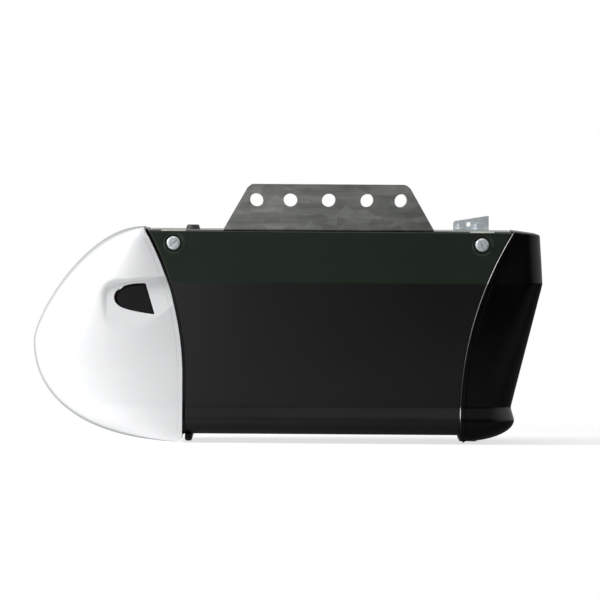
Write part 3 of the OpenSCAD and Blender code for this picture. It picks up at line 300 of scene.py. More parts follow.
amber = finish("amber_plastic", (0.75, 0.42, 0.03), (0.85, 0.52, 0.06), gloss=(0.15, 0.25),
               patch=90.0, grain=(1800.0, 0.03), Subsurface_Weight=0.2)
grey_rubber = finish("grey_button", (0.09, 0.09, 0.1), (0.13, 0.13, 0.14), gloss=(0.4, 0.55),
                     patch=90.0, grain=(2500.0, 0.1))
pale_nylon = finish("pale_block", (0.72, 0.72, 0.66), (0.8, 0.8, 0.75), gloss=(0.35, 0.5),
                    patch=90.0, grain=(2000.0, 0.06))
softened("logic_board", "head", circuit_board(), edge=0.1)
softened("board_parts", "head", matt_plastic, edge=0.5)
softened("control_panel", "head", matt_plastic, edge=0.5, steps=3)
softened("terminal_block", "head", pale_nylon, edge=0.3)
softened("status_led", "head", amber, edge=0.6, steps=4)
softened("learn_button", "learn_button", amber, edge=0.5, steps=3)
for part in ("up_button", "set_button", "down_button"):
    softened(part, part, grey_rubber, edge=0.5, steps=3)

# ---- Lamp panel ----
# A black moulding between the cover and the lens. Its edge shows as a thin line round the
# joint, its foot runs under the cover, and it carries the lamp socket and the lens hinges.

gloss_black = finish("gloss_black_plastic", (0.0014, 0.0014, 0.0015), (0.002, 0.002, 0.0021),
                     gloss=(0.2, 0.28), patch=40.0, grain=(2200.0, 0.02),
                     Specular_IOR_Level=0.28)
softened("lamp_panel", "head", gloss_black, edge=0.3)
softened("lens_hinge_pins", "head", turned_steel, edge=0.2)
softened("cap_screws", "head", turned_steel, edge=0.2)

# ---- Lamp: socket, bulb base and bulb ----
# A glazed porcelain socket with a brass shell is riveted to the lamp panel. The bulb's
# screw base is drawn aluminium, and its glass is frosted inside.

porcelain = finish("glazed_porcelain", (0.86, 0.86, 0.83), (0.9, 0.9, 0.88), gloss=(0.08, 0.16),
                   patch=40.0, grain=(300.0, 0.02), Coat_Weight=0.3)
brass = finish("brass_shell", (0.6, 0.44, 0.16), (0.72, 0.56, 0.25), gloss=(0.25, 0.4),
               patch=120.0, grain=(1500.0, 0.05), metal=1.0)
frosted_glass = finish("frosted_bulb", (0.9, 0.9, 0.87), (0.94, 0.94, 0.92), gloss=(0.25, 0.32),
                       patch=20.0, grain=(2500.0, 0.02), Subsurface_Weight=0.3)
softened("lamp_socket", "head", porcelain, edge=1.2, steps=4)
softened("socket_shell", "head", brass, edge=0.3)
softened("bulb_base", "head", cast_metal, edge=0.8, steps=3)
softened("bulb_glass", "head", frosted_glass, edge=0)

# ---- Cover ----
# One sheet of thin steel wrapped under the whole head, with a sharp crease along each side
# and a rolled lip at its foot. It is powder coated near black, and over the crease its colour
# is painted lighter and greener as a reflection. Each of its four screws sits in a pressed dish,
# and nine pairs of vents are cut in its underside.

crease_z, crease_half = 132.0, 122.0
top_z, top_half = 174.0, 119.0
pinch_z, pinch_half = 30.0, 100.0
lip_z, lip_half, foot_half = 20.0, 103.0, 92.0
cover_base_z, cover_t = 7.0, 1.0
rear_x, rear_bow_z, rear_bow_r = -83.0, 53.0, 250.0
front_x, front_bow_z, front_bow_r = 142.5, 23.0, 290.0
screw_z, rear_screw_x, front_screw_x = 164.0, -93.8, 160.0
dish_r, dish_wall, dish_depth = 8.7, 1.3, 1.5
vent_x, vent_y, vent_l, vent_w, vent_pitch, vent_count = 30.0, 38.0, 34.0, 4.0, 9.0, 9
port_x, port_z, port_w, port_h = -20.0, 86.0, 78.0, 50.8
middle_start, middle_end = -78.0, 135.0     # where the sheet's columns are upright


def bow(rise, r):
    """How far an edge that bows with radius r has moved after a rise: r less the leg of a
    right triangle with hypotenuse r."""
    rise = np.clip(rise, 0, r)
    return r - np.sqrt(r * r - rise * rise)


def rear_edge(z):
    """X of the cover's rear edge at height z."""
    return rear_x - bow(z - rear_bow_z, rear_bow_r)


def front_edge(z):
    """X of the cover's front edge at height z."""
    return front_x + bow(z - front_bow_z, front_bow_r)


def ease(t):
    """A smooth step from 0 to 1 as t goes from 0 to 1."""
    t = np.clip(t, 0, 1)
    return t * t * (3 - 2 * t)


def side_half(z, base, soft=1.0):
    """Half width of the head at height z: straight between its folds, with an elliptical
    roll under the lip, and with each fold rounded by averaging over a short height."""
    heights = z[..., None] + soft * np.linspace(-1, 1, 9)
    heights = np.where(z[..., None] < lip_z - soft, z[..., None], heights)
    folded = np.interp(heights, [lip_z, pinch_z, crease_z, top_z],
                       [lip_half, pinch_half, crease_half, top_half])
    under = np.clip((lip_z - heights) / (lip_z - base), 0, 1)
    rolled = foot_half + (lip_half - foot_half) * np.sqrt(1 - under ** 2)
    return np.where(heights < lip_z, rolled, folded).mean(-1)


def steps_between(*stops):
    """A row of numbers through the given stops: value, spacing, value, spacing, value."""
    runs = []
    for i in range(0, len(stops) - 2, 2):
        low, gap, high = stops[i:i + 3]
        runs.append(np.linspace(low, high, max(2, int(round(abs(high - low) / gap)) + 1))[:-1])
    return np.concatenate(runs + [[stops[-1]]])


def grid_faces(rows, columns):
    """Quads of a grid of points kept row by row."""
    a = (np.arange(rows - 1)[:, None] * columns + np.arange(columns - 1)).ravel()
    return np.stack([a, a + 1, a + columns + 1, a + columns], 1)


def solid_mesh(name, points, faces, merge):
    """A mesh from points in millimetres. With a merge distance in metres, near points become
    one and the faces turn outwards."""
    mesh = bpy.data.meshes.new(name)
    mesh.from_pydata(np.asarray(points).reshape(-1, 3) / 1000, [], faces)
    if merge:
        work = bmesh.new()
        work.from_mesh(mesh)
        bmesh.ops.remove_doubles(work, verts=work.verts, dist=merge)
        bmesh.ops.recalc_face_normals(work, faces=work.faces)
        work.to_mesh(mesh)
        work.free()
    return mesh


def solid_piece(name, points, faces, material, smooth_angle=35, merge=0.0):
    """A mesh object from points in millimetres and quads, smooth but for its sharp edges."""
    mesh = solid_mesh(name, points, faces.tolist(), merge)
    shaded(mesh, smooth_angle, material)
    return placed(name, mesh)


def cover_surface():
    """The folded sheet: rows go down one side, under the head and up the other, and columns
    follow both bowed edges and run straight between them."""
    turn = np.linspace(90, 0, 9)[1:]
    z_side = np.concatenate([
        steps_between(top_z, 0.8, screw_z - 11, 5.0, crease_z + 3, 0.6, crease_z - 3, 4.0,
                      port_z + port_h / 2, 4.2, port_z - port_h / 2, 5.0,
                      pinch_z + 2, 0.6, lip_z),
        lip_z - (lip_z - cover_base_z) * np.cos(np.radians(turn))])
    y_side = side_half(z_side, cover_base_z)
    half_vent = vent_l / 2
    y_foot = steps_between(foot_half, 7, vent_y + half_vent, 8, vent_y - half_vent, 7, 0.0)[1:]
    y = np.concatenate([y_side, y_foot])
    z = np.concatenate([z_side, np.full(len(y_foot), cover_base_z)])
    y = np.concatenate([-y, y[-2::-1]])
    z = np.concatenate([z, z[-2::-1]])
    slots = vent_x + (np.arange(vent_count) - (vent_count - 1) / 2) * vent_pitch
    middle = np.unique(np.round(np.concatenate([
        np.arange(middle_start, middle_end, 6.0),
        [middle_end, port_x - port_w / 2, port_x + port_w / 2],
        slots - vent_w / 2, slots + vent_w / 2]), 3))
    rear_share = np.linspace(0, 1, 32)[:-1]
    front_share = np.linspace(0, 1, 46)[1:]
    rear = rear_edge(z)[:, None] * (1 - rear_share) + middle[0] * rear_share
    front = middle[-1] * (1 - front_share) + front_edge(z)[:, None] * front_share
    x = np.hstack([rear, np.broadcast_to(middle, (len(z), len(middle))), front])
    y = np.broadcast_to(y[:, None], x.shape).copy()
    z = np.broadcast_to(z[:, None], x.shape)
    for screw_x in (rear_screw_x, front_screw_x):
        r = np.hypot(x - screw_x, z - screw_z)
        y -= np.sign(y) * dish_depth * (1 - ease((r - dish_r + dish_wall) / dish_wall))
    faces = grid_faces(*x.shape)
    points = np.stack([x, y, z], -1)
    centre = points.reshape(-1, 3)[faces].mean(1)
    in_vent = ((np.abs(centre[:, 0, None] - slots) < vent_w / 2).any(1)
               & (np.abs(np.abs(centre[:, 1]) - vent_y) < half_vent)
               & (centre[:, 2] < cover_base_z + 0.1))
    in_port = ((np.abs(centre[:, 0] - port_x) < port_w / 2) & (centre[:, 1] > foot_half)
               & (np.abs(centre[:, 2] - port_z) < port_h / 2))
    return points, faces[~(in_vent | in_port)]


def powder_coat_with_painted_sheen():
    """Satin powder coat with a fine orange peel. Over the crease its colour is painted lighter
    and greener, a painted reflection, and the change follows the crease."""
    made = finish("dark_powder_coat_painted_sheen", (0.0042, 0.0045, 0.0043), (0.0056, 0.0059, 0.0057),
                  gloss=(0.38, 0.45), patch=9.0, grain=(3500.0, 0.03))
    tree, plain, grain = opened(made)
    height = add(tree, "SeparateXYZ", on_object(tree)).outputs["Z"]
    # painted reflection: the coat over the crease is painted lighter and greener than under it
    over = ramp(tree, height, (crease_z - 1.2) / 1000, (crease_z + 1.2) / 1000)
    rewired(made, "Base Color", mixed(tree, over, plain, (0.0088, 0.0185, 0.0090, 1)))
    peel = add(tree, "TexNoise", on_object(tree), Scale=650.0, Detail=1.0)
    return rewired(made, "Normal", add(tree, "Bump", Strength=0.12, Distance=0.0004,
                                       Height=peel, Normal=grain))


points, faces = cover_surface()
cover = solid_piece("cover_skin", points, faces[:, ::-1], powder_coat_with_painted_sheen(), smooth_angle=50)
wall = cover.modifiers.new("sheet", "SOLIDIFY")
wall.thickness = cover_t / 1000
wall.offset = -1
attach(cover, "head")
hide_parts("cover")

# ---- Cover screws ----
# Four zinc plated hexagon screws with a washer formed on the head and a slot across it.
# Each is turned to where it came tight, so no two slots point the same way.

washer_r, washer_t = 5.4, 1.0
hex_flat, hex_h = 3.9, 3.9
slot_w, slot_depth = 1.3, 1.2
washer_seat = 0.2       # a washer's distance from its dish's floor


def ring_faces(rings, count):
    """Quads between closed rings of points kept ring by ring."""
    k, loop = np.arange(rings - 1)[:, None] * count, np.arange(count)
    after = (loop + 1) % count
    faces = np.stack([k + loop, k + count + loop, k + count + after, k + after], -1)
    return faces.reshape(-1, 4)


def screw_head(turn, n=96):
    """A head on the XY plane: rings from the middle out to the hexagon's edge, down its
    sides and across the washer. A ring's radius is the flat over the cosine of the angle
    from the nearest flat's middle, and the slot lowers what lies near its line."""
    angle = np.linspace(0, 2 * np.pi, n + 1)[:-1]
    corner = hex_flat / np.cos((angle + np.pi / 6) % (np.pi / 3) - np.pi / 6)
    top = np.concatenate([np.linspace(0.02, 0.9, 22), [0.97, 1.0]])
    rings = [(corner * s, hex_h - 0.35 * max(0.0, s - 0.86) / 0.14 * (corner / hex_flat - 0.8))
             for s in top]
    rings += [(corner, hex_h * s) for s in (0.8, 0.5, 0.33)]
    rings += [(hex_flat * 1.19, washer_t + 0.1), (washer_r - 0.35, washer_t * 0.85),
              (washer_r - 0.08, washer_t * 0.62), (washer_r, washer_t * 0.4), (washer_r, 0),
              (0.02, 0)]
    r, h = (np.array([np.broadcast_to(ring[k], n) for ring in rings]) for k in (0, 1))
    x, y = r * np.cos(angle), r * np.sin(angle)
    across = np.abs(x * np.sin(turn) - y * np.cos(turn))
    in_slot = 1 - ease((across - slot_w / 2 + 0.15) / 0.3)
    h = h - np.where(h > washer_t + 0.3, slot_depth, 0) * in_slot
    return np.stack([x, y, h], -1).reshape(-1, 3), ring_faces(len(rings), n)


def joined(parts):
    """Several point and face lists as one."""
    start = np.cumsum([0] + [len(p) for p, _ in parts[:-1]])
    return np.vstack([p for p, _ in parts]), np.vstack([f + s for (_, f), s in zip(parts, start)])


heads = []
seat = side_half(np.array([screw_z]), cover_base_z)[0] - dish_depth + washer_seat
for turn, screw_x, side in ((0.62, rear_screw_x, -1), (1.9, front_screw_x, -1),
                            (0.3, rear_screw_x, 1), (1.2, front_screw_x, 1)):
    points, faces = screw_head(turn)
    heads.append((np.stack([screw_x + points[:, 0], side * (seat + points[:, 2]),
                            screw_z - side * points[:, 1]], 1), faces))
points, faces = joined(heads)
screws = solid_piece("cover_screw_heads", points, faces, bright_zinc, smooth_angle=28,
                     merge=3e-5)
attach(screws, "head")
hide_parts("cover_screws")

# ---- End cap ----
# A glossy black moulding that closes the rail end. A proud band and a fine groove follow
# its rim, its corners are broadly rounded, and it leans in under the crease as the sides do.

cap_base_z, cap_top_z = 2.0, 175.5
cap_reach, cap_pinch_reach, cap_lip_reach, cap_foot_reach = 210.0, 185.0, 188.0, 145.5
cap_top_reach = 207.5
cap_edge_r, cap_wall = 2.0, 1.5
cap_corner_low, cap_corner_high = 30.0, 14.0
cap_band, cap_step, cap_chamfer, cap_groove = 4.5, 0.6, 0.8, 0.45
cap_brink_z = 172.4                         # the top's height where it meets the face
cap_slope_x, cap_slope_z = 186.0, 150.0     # where the top and the sides start to sink
rim_clear = 0.3


def cap_end(z, soft=1.6):
    """X of the cap's face at height z, straight between its folds with each fold averaged
    over a short height, and an elliptical sweep back under the lip."""
    heights = z[..., None] + soft * np.linspace(-1, 1, 9)
    heights = np.where(z[..., None] < lip_z - soft, z[..., None], heights)
    folded = np.interp(heights, [lip_z, pinch_z, crease_z, cap_top_z],
                       [cap_lip_reach, cap_pinch_reach, cap_reach, cap_top_reach])
    under = np.clip((lip_z - heights) / (lip_z - cap_base_z), 0, 1)
    rolled = cap_foot_reach + (cap_lip_reach - cap_foot_reach) * np.sqrt(1 - under ** 2)
    return np.where(heights < lip_z, rolled, folded).mean(-1)


def cap_surface():
    """Slices from foot to top. A slice runs from the rim along the side, where its band and
    groove push it out or in, round the corner's arc and half way across the face."""
    turn = np.radians(np.linspace(0, 90, 14))
    z = np.concatenate([
        cap_base_z + (lip_z - cap_base_z) * (1 - np.cos(turn[:-1])),
        steps_between(lip_z, 0.6, pinch_z + 2, 6.0, crease_z - 3, 0.6, crease_z + 3, 6.0,
                      cap_top_z - cap_edge_r),
        cap_top_z - cap_edge_r + cap_edge_r * np.sin(np.radians([15, 30, 45, 60, 75, 90]))])
    edge = bow(z - (cap_top_z - cap_edge_r), cap_edge_r)
    x0 = front_edge(z) + rim_clear
    x1 = np.maximum(cap_end(z) - edge, x0 + 1)
    half = side_half(z, cap_base_z) - edge
    corner = np.interp(z, [lip_z, crease_z], [cap_corner_low, cap_corner_high])
    r = np.minimum(corner, (x1 - x0) * 0.6)
    run = x1 - x0 - r
    d = np.concatenate([[0, 0.1, 0.25, 0.5, 0.72, 0.84, 1, 1.4], np.arange(2, 3.5, 0.5),
                        np.arange(3.6, 6.01, 0.15)])
    out = (cap_step * (np.clip(d / cap_chamfer, 0, 1) - ease((d - cap_band + 0.5) / 0.5))
           - cap_groove * np.exp(-((d - cap_band - 0.35) / 0.32) ** 2) - 0.35 * (d == 0))
    fit = np.minimum(1, run / 8)[:, None]
    x_band = x0[:, None] + d * fit
    y_band = half[:, None] + out * np.minimum(1, run / 4)[:, None]
    share = np.linspace(0, 1, 12)[1:]
    x_run = x_band[:, -1:] * (1 - share) + (x1 - r)[:, None] * share
    y_run = np.broadcast_to(half[:, None], x_run.shape)
    arc = np.radians(np.linspace(0, 90, 12)[1:])
    x_arc = (x1 - r)[:, None] + r[:, None] * np.sin(arc)
    y_arc = (half - r)[:, None] + r[:, None] * np.cos(arc)
    share = np.linspace(1, 0, 14)[1:]
    y_face = (half - r)[:, None] * share
    x_face = np.broadcast_to(x1[:, None], y_face.shape)
    x = np.hstack([x_band, x_run, x_arc, x_face])
    y = np.hstack([y_band, y_run, y_arc, y_face])
    x = np.hstack([x, x[:, -2::-1]])
    y = np.hstack([-y, y[:, -2::-1]])
    sink = (cap_top_z - cap_brink_z) * np.clip((x - cap_slope_x) / (cap_reach - cap_slope_x), 0, 1)
    high = np.clip((z[:, None] - cap_slope_z) / (cap_top_z - cap_slope_z), 0, 1)
    points = np.stack([x, y, z[:, None] - sink * high], -1)
    rows, columns = x.shape
    side = grid_faces(rows, columns)
    j = np.arange(columns // 2)
    lid = np.stack([j, columns - 1 - j, columns - 2 - j, j + 1], 1)
    top = (rows - 1) * columns + lid[:, ::-1]
    return points, np.vstack([side, lid, top])


def cap_black():
    """Glossy black plastic that mirrors more where the attribute edge_polish is 1."""
    made = gloss_black.copy()
    made.name = "cap_black_plastic"
    polish = add(made.node_tree, "Attribute", attribute_name="edge_polish").outputs["Fac"]
    return rewired(made, "Specular IOR Level", ramp(made.node_tree, polish, 0.0, 1.0, 0.28, 1.0))


points, faces = cap_surface()
cap = solid_piece("end_cap_moulding", points, faces, cap_black(), smooth_angle=40, merge=2e-5)
corners = np.zeros(len(cap.data.vertices) * 3)
cap.data.vertices.foreach_get("co", corners)
corners = corners.reshape(-1, 3) * 1000
inset = corners[:, 0] - front_edge(corners[:, 2]) - rim_clear
by_groove = np.abs(inset - cap_band + 0.2) < 0.35
polish = cap.data.attributes.new("edge_polish", "FLOAT", "POINT")
polish.data.foreach_set("value", np.where(inset < cap_chamfer + 0.1, 1.0, 0.6 * by_groove))
wall = cap.modifiers.new("wall", "SOLIDIFY")
wall.thickness = cap_wall / 1000
wall.offset = -1
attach(cap, "head")
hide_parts("end_cap")

# ---- Light lens ----
# A frosted white moulding that covers the bulb and swings down on two pins at its foot.
# Horizontal slices are squared ellipses that start at the rim. A thumb scoop is sunk into
# each side under a crisp brow, with a leaf window in it for the release tab.

nose_x, nose_z, lens_top_z = -210.0, 81.0, 176.5
lens_wall, window_wall = 2.5, 1.4
lens_square, lens_edge_r, lens_foot_r = 2.7, 10.0, 5.0
panel_t, rim_gap = 2.5, 0.4
rim_line, rim_drop = 4.0, 0.15
scoop_depth, scoop_turn = 5.0, radians(11)
scoop_l, scoop_end_z, brow_z = 54.0, crease_z - 13.5, crease_z + 0.8
scoop_round = 18.0      # length of the scoop's rounded end
window_x, window_lean = -14.2, 3.9
window_low, window_high = crease_z - 27, crease_z - 1.3
tip_x, tip_z = -44.7, crease_z - 12.3
hinge_x, hinge_z, hinge_y = rear_x - 7, 6.5, 74.0
hinge_lug_r, hinge_lug_w, hinge_arm_w, gap = 3.3, 3.0, 4.0, 0.3
lug_bore_r, lug_edge = 1.65, 0.4


def lens_rim(z):
    """X of the lens's rim at height z, rounded at its foot with a quarter circle."""
    rounded = rear_x - panel_t - rim_gap - lens_foot_r + np.sqrt(
        np.clip(lens_foot_r ** 2 - np.clip(lens_foot_r - z, 0, lens_foot_r) ** 2, 0, None))
    return np.where(z < lens_foot_r, rounded, rear_edge(z) - panel_t - rim_gap)


scoop_x = float(lens_rim(np.array(crease_z)))
scoop_y = crease_half - scoop_depth


def bezier(handles, t):
    """A cubic curve through its first and last handle, leaving and arriving along the others."""
    a, b, c, d = np.array(handles)[:, None, :]
    t = t[:, None]
    return (1 - t) ** 3 * a + 3 * (1 - t) ** 2 * t * b + 3 * (1 - t) * t ** 2 * c + t ** 3 * d


def lens_profile(inset):
    """X and Z of the side view, from the foot round the nose to the top."""
    low = bezier([[rear_x - 9, inset], [rear_x - 81, inset],
                  [nose_x + inset, nose_z - 48], [nose_x + inset, nose_z]],
                 np.concatenate([np.linspace(0, 0.12, 9)[:-1], np.linspace(0.12, 1, 40)[:-1]]))
    top_x = float(rear_edge(np.array(lens_top_z)))
    high = bezier([[nose_x + inset, nose_z], [nose_x + inset, nose_z + 23],
                   [top_x - 50, lens_top_z - inset], [top_x - 6, lens_top_z - inset]],
                  np.concatenate([np.linspace(0, 0.22, 8)[:-1], np.linspace(0.22, 0.53, 76)[:-1],
                                  np.linspace(0.53, 0.86, 26)[:-1], np.linspace(0.86, 1, 16)]))
    return np.vstack([low, high])


def to_scoop(x, y):
    """Distances along and out of the scoop's floor."""
    dx, dy = x - scoop_x, np.abs(y) - scoop_y
    return (dx * np.cos(scoop_turn) + dy * np.sin(scoop_turn),
            dy * np.cos(scoop_turn) - dx * np.sin(scoop_turn))


def from_scoop(along, out, side):
    """The X and Y of a point given in the scoop's frame on one side of the head."""
    x = scoop_x + along * np.cos(scoop_turn) - out * np.sin(scoop_turn)
    y = scoop_y + along * np.sin(scoop_turn) + out * np.cos(scoop_turn)
    return x, side * y


def inside_scoop(along, z):
    """Distance in from the scoop's edge: under a sloping brow, then inside an ellipse."""
    brow = np.interp(along, [scoop_round - scoop_l, -6, 14],
                     [brow_z, crease_z + 4.7, crease_z + 6.5])
    a = (along + scoop_l - scoop_round) / scoop_round
    b = np.maximum((z - scoop_end_z) / (brow_z - scoop_end_z), 0)
    q = np.hypot(a, b) + 1e-9
    size = scoop_round * (a / q) ** 2 + (brow_z - scoop_end_z) * (b / q) ** 2
    return np.where(a > 0, brow - z, (1 - q) * size)


def lens_surface(inset, sunk):
    """Slices of the lens taken in by inset. Where a slice stands proud of the scoop's floor,
    less sunk, it is pressed back to it, more softly towards the nose."""
    side = lens_profile(inset)
    z = side[:, 1]
    rim = lens_rim(z)
    depth = np.maximum(rim - side[:, 0], 3)
    half = side_half(np.minimum(z, top_z), 0.0, 1.2) - bow(z - (lens_top_z - lens_edge_r),
                                                         lens_edge_r) - inset
    d = steps_between(0.0, 0.5, 2.0, 0.35, 6.0, 0.8, 60.0)
    short = np.minimum(1, 0.6 * depth / 60)[:, None] * d
    near = np.arccos(np.clip((short / depth[:, None]) ** (lens_square / 2), 0, 1))
    share = np.linspace(1, 0, 30)[1:]
    angle = np.hstack([near, near[:, -1:] * share])
    x = rim[:, None] - depth[:, None] * np.cos(angle).clip(0) ** (2 / lens_square)
    y = half[:, None] * np.sin(angle) ** (2 / lens_square)
    along, out = to_scoop(x, y)
    inward = inside_scoop(along, z[:, None])
    soft = np.interp(-along, [5, 30, 54], [0.9, 1.6, 9])
    press = ease(inward / soft + 0.5) * np.clip(out + sunk, 0, None)
    x = x + press * np.sin(scoop_turn)
    y = y - press * np.cos(scoop_turn)
    if inset == 0:
        from_rim = rim[:, None] - x
        y = y - rim_drop * (1 - ease((from_rim - rim_line + 0.3) / 0.5))
    x = np.hstack([x, x[:, -2::-1]])
    y = np.hstack([-y, y[:, -2::-1]])
    return np.stack([x, y, np.broadcast_to(z[:, None], x.shape)], -1)


def lens_shell():
    """The outer and inner surface, joined along the rim, with lids under and over both."""
    outer, inner = lens_surface(0, 0), lens_surface(lens_wall, window_wall)
    rows, columns = outer.shape[:2]
    m = rows * columns
    top = (rows - 1) * columns
    skin = grid_faces(rows, columns)
    j = np.arange(columns // 2)
    lid = np.stack([j, j + 1, columns - 2 - j, columns - 1 - j], 1)
    i = np.arange(rows - 1) * columns
    near = np.stack([i, i + columns, i + columns + m, i + m], 1)
    far = np.stack([i, i + m, i + columns + m, i + columns], 1) + columns - 1
    ends = np.array([[0, m, m + columns - 1, columns - 1],
                     [top, top + columns - 1, m + top + columns - 1, m + top]])
    return np.vstack([outer.reshape(-1, 3), inner.reshape(-1, 3)]), np.vstack([
        skin[:, ::-1], skin + m, lid[:, ::-1], top + lid, m + lid,
        m + top + lid[:, ::-1], near, far, ends])


def window_outline(grow, count=96):
    """The leaf window as distances along the scoop and heights: one curve over it and one
    under it, that meet in a straight edge leaning with the rim. It grows about its middle,
    and its corners are rounded by averaging along the outline."""
    t = np.linspace(0, 1, 40)
    upper = bezier([[window_x - window_lean, window_high], [tip_x + 11, window_high + 0.5],
                    [tip_x + 0.7, tip_z + 7], [tip_x, tip_z]], t)
    lower = bezier([[tip_x, tip_z], [tip_x, tip_z - 9], [tip_x + 9, window_low + 3.4],
                    [window_x + window_lean, window_low]], t)
    middle = np.array([(window_x + tip_x) / 2, (window_low + window_high) / 2])
    reach = np.array([(window_x - tip_x) / 2, (window_high - window_low) / 2])
    loop = middle + (np.vstack([upper, lower[1:]]) - middle) * (1 + grow / reach)
    closed = np.vstack([loop, loop[:1]])
    length = np.concatenate([[0], np.cumsum(np.hypot(*np.diff(closed, axis=0).T))])
    s = np.linspace(0, length[-1], count, endpoint=False)
    at = (s[:, None] + np.linspace(-0.7, 0.7, 9)) % length[-1]
    return np.stack([np.interp(at, length, closed[:, k]).mean(1) for k in (0, 1)], 1)


def prism(outline, side, low, high):
    """A closed prism through the scoop, from out = low to out = high."""
    n = len(outline)
    points = [np.column_stack([*from_scoop(outline[:, 0], out, side), outline[:, 1]])
              for out in (low, high)]
    return np.vstack(points), ring_faces(2, n).tolist() + [[*range(n)], [*range(n, 2 * n)]]


def cut(piece, cutters):
    """Takes the cutters out of the piece for good, and deletes them."""
    for cutter in cutters:
        step = piece.modifiers.new("cut", "BOOLEAN")
        step.object = cutter
        step.solver = "EXACT"
    bpy.context.view_layer.update()
    seen = piece.evaluated_get(bpy.context.evaluated_depsgraph_get())
    mesh = bpy.data.meshes.new_from_object(seen)
    piece.modifiers.clear()
    piece.data = mesh
    for cutter in cutters:
        bpy.data.objects.remove(cutter)


def cutter_piece(name, points, faces):
    """A closed cutter from points in millimetres, with its faces turned outwards."""
    return placed(name, solid_mesh(name, points, faces, merge=1e-9))


def block(low, high):
    """The corners and faces of a box."""
    corners = np.array([[(low, high)[k >> 2 & 1][0], (low, high)[k >> 1 & 1][1],
                         (low, high)[k & 1][2]] for k in range(8)])
    return corners, [[0, 1, 3, 2], [4, 6, 7, 5], [0, 4, 5, 1], [2, 3, 7, 6], [0, 2, 6, 4],
                     [1, 5, 7, 3]]


def frosted_white():
    """White moulded plastic that lets a little light through, with a fine frosted grain. Where it
    is seen edge-on its colour is painted darker, a painted shade along its outline."""
    made = finish("frosted_white_plastic", (0.8, 0.81, 0.82), (0.84, 0.845, 0.85),
                  gloss=(0.42, 0.5), patch=12.0, grain=(2600.0, 0.06),
                  Subsurface_Weight=0.12, Subsurface_Scale=0.004)
    tree, plain, _ = opened(made)
    # painted shade: the colour darkens to grey where the surface is seen edge-on
    facing = add(tree, "LayerWeight", 0.5).outputs["Facing"]
    painted_edge_shade = ramp(tree, facing, 0.78, 0.98, kind="SMOOTHSTEP")
    return rewired(made, "Base Color", mixed(tree, painted_edge_shade, plain, (0.36, 0.37, 0.38, 1)))


points, faces = lens_shell()
lens_finish = frosted_white()
lens = solid_piece("light_lens_moulding", points, faces, lens_finish, merge=2e-5)
cutters = []
for side in (-1, 1):
    cutters.append(cutter_piece("window", *prism(window_outline(0), side, -10, 12)))
    low, high = sorted([side * (hinge_y - hinge_arm_w / 2 - gap),
                        side * (hinge_y + hinge_arm_w / 2 + gap)])
    cutters.append(cutter_piece("notch", *block([hinge_x - 6, low, -1],
                                                [rear_x, high, hinge_z - 1])))
cut(lens, cutters)
lens.data.set_sharp_from_angle(angle=radians(32))
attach(lens, "lens_door")
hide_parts("light_lens")

lug_face_r, lug_far = hinge_lug_r - lug_edge, hinge_lug_w - lug_edge
lugs = []
for side in (-1, 1):
    for inner in (hinge_y - hinge_arm_w / 2 - gap - hinge_lug_w, hinge_y + hinge_arm_w / 2 + gap):
        turn = np.radians(np.linspace(0, 360, 33)[:-1])
        along, r = np.array([[0, lug_face_r], [lug_edge, hinge_lug_r], [lug_far, hinge_lug_r],
                             [hinge_lug_w, lug_face_r], [hinge_lug_w, lug_bore_r],
                             [0, lug_bore_r], [0, lug_face_r]]).T
        x = hinge_x + r[:, None] * np.cos(turn)
        z = np.maximum(hinge_z + r[:, None] * np.sin(turn), 1.0)
        y = np.broadcast_to(side * (inner + along)[:, None], x.shape)
        lugs.append((np.stack([x, y, z], -1).reshape(-1, 3), ring_faces(len(r), len(turn))))
points, faces = joined(lugs)
lens_lugs = solid_piece("lens_hinge_lugs", points, faces, lens_finish, merge=1e-6)
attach(lens_lugs, "lens_door")

# ---- Release tabs ----
# A glossy black thumb piece fills each leaf window. Its face swells a little and is rounded
# all round, and a cranked spring arm behind it turns on an upright barrel in the lamp panel.

tab_t, tab_face = 2.0, -window_wall - gap
tab_clear, tab_sunk, tab_crown_r = 0.25, 0.05, 100.0
tab_roll, tab_roll_depth = 0.1, 0.8         # share of the face that turns down, and how far
pivot_along, pivot_out = -0.8, -5.8
barrel_r, barrel_l, barrel_mid = 2.0, 7.4, crease_z - 13.5
barrel_low, barrel_high = barrel_mid - barrel_l / 2, barrel_mid + barrel_l / 2
journal_r, journal_l = 1.3, 3.0


def tab_head(side):
    """The face and back of the tab: rings shrunk from the window's outline towards its
    middle. The face is crowned across by h = r - sqrt(r^2 - u^2), and near its edge it
    turns down along a quarter ellipse."""
    outline = window_outline(-gap - tab_clear)
    middle = outline.mean(0)
    turn = np.radians(np.arange(10, 91, 8))
    share = np.concatenate([[0, 0.5, 0.97, 1, 1], 1 - tab_roll + tab_roll * np.cos(turn),
                            [0.86, 0.8, 0.7, 0.55, 0.4, 0.25, 0.1, 0]])
    edge = np.clip((share - (1 - tab_roll)) / tab_roll, 0, 1)
    rolled = tab_roll_depth * (1 - np.sqrt(1 - edge ** 2))
    ring = middle + share[:, None, None] * (outline - middle)
    u = ring[..., 0] - (window_x + tip_x) / 2
    deep = tab_crown_r - np.sqrt(tab_crown_r ** 2 - u * u) + tab_sunk + rolled[:, None]
    deep = np.minimum(deep, tab_t - tab_sunk)
    deep[:4] = tab_t
    x, y = from_scoop(ring[..., 0], tab_face - deep, side)
    return (np.stack([x, y, ring[..., 1]], -1).reshape(-1, 3),
            ring_faces(len(share), len(outline)))


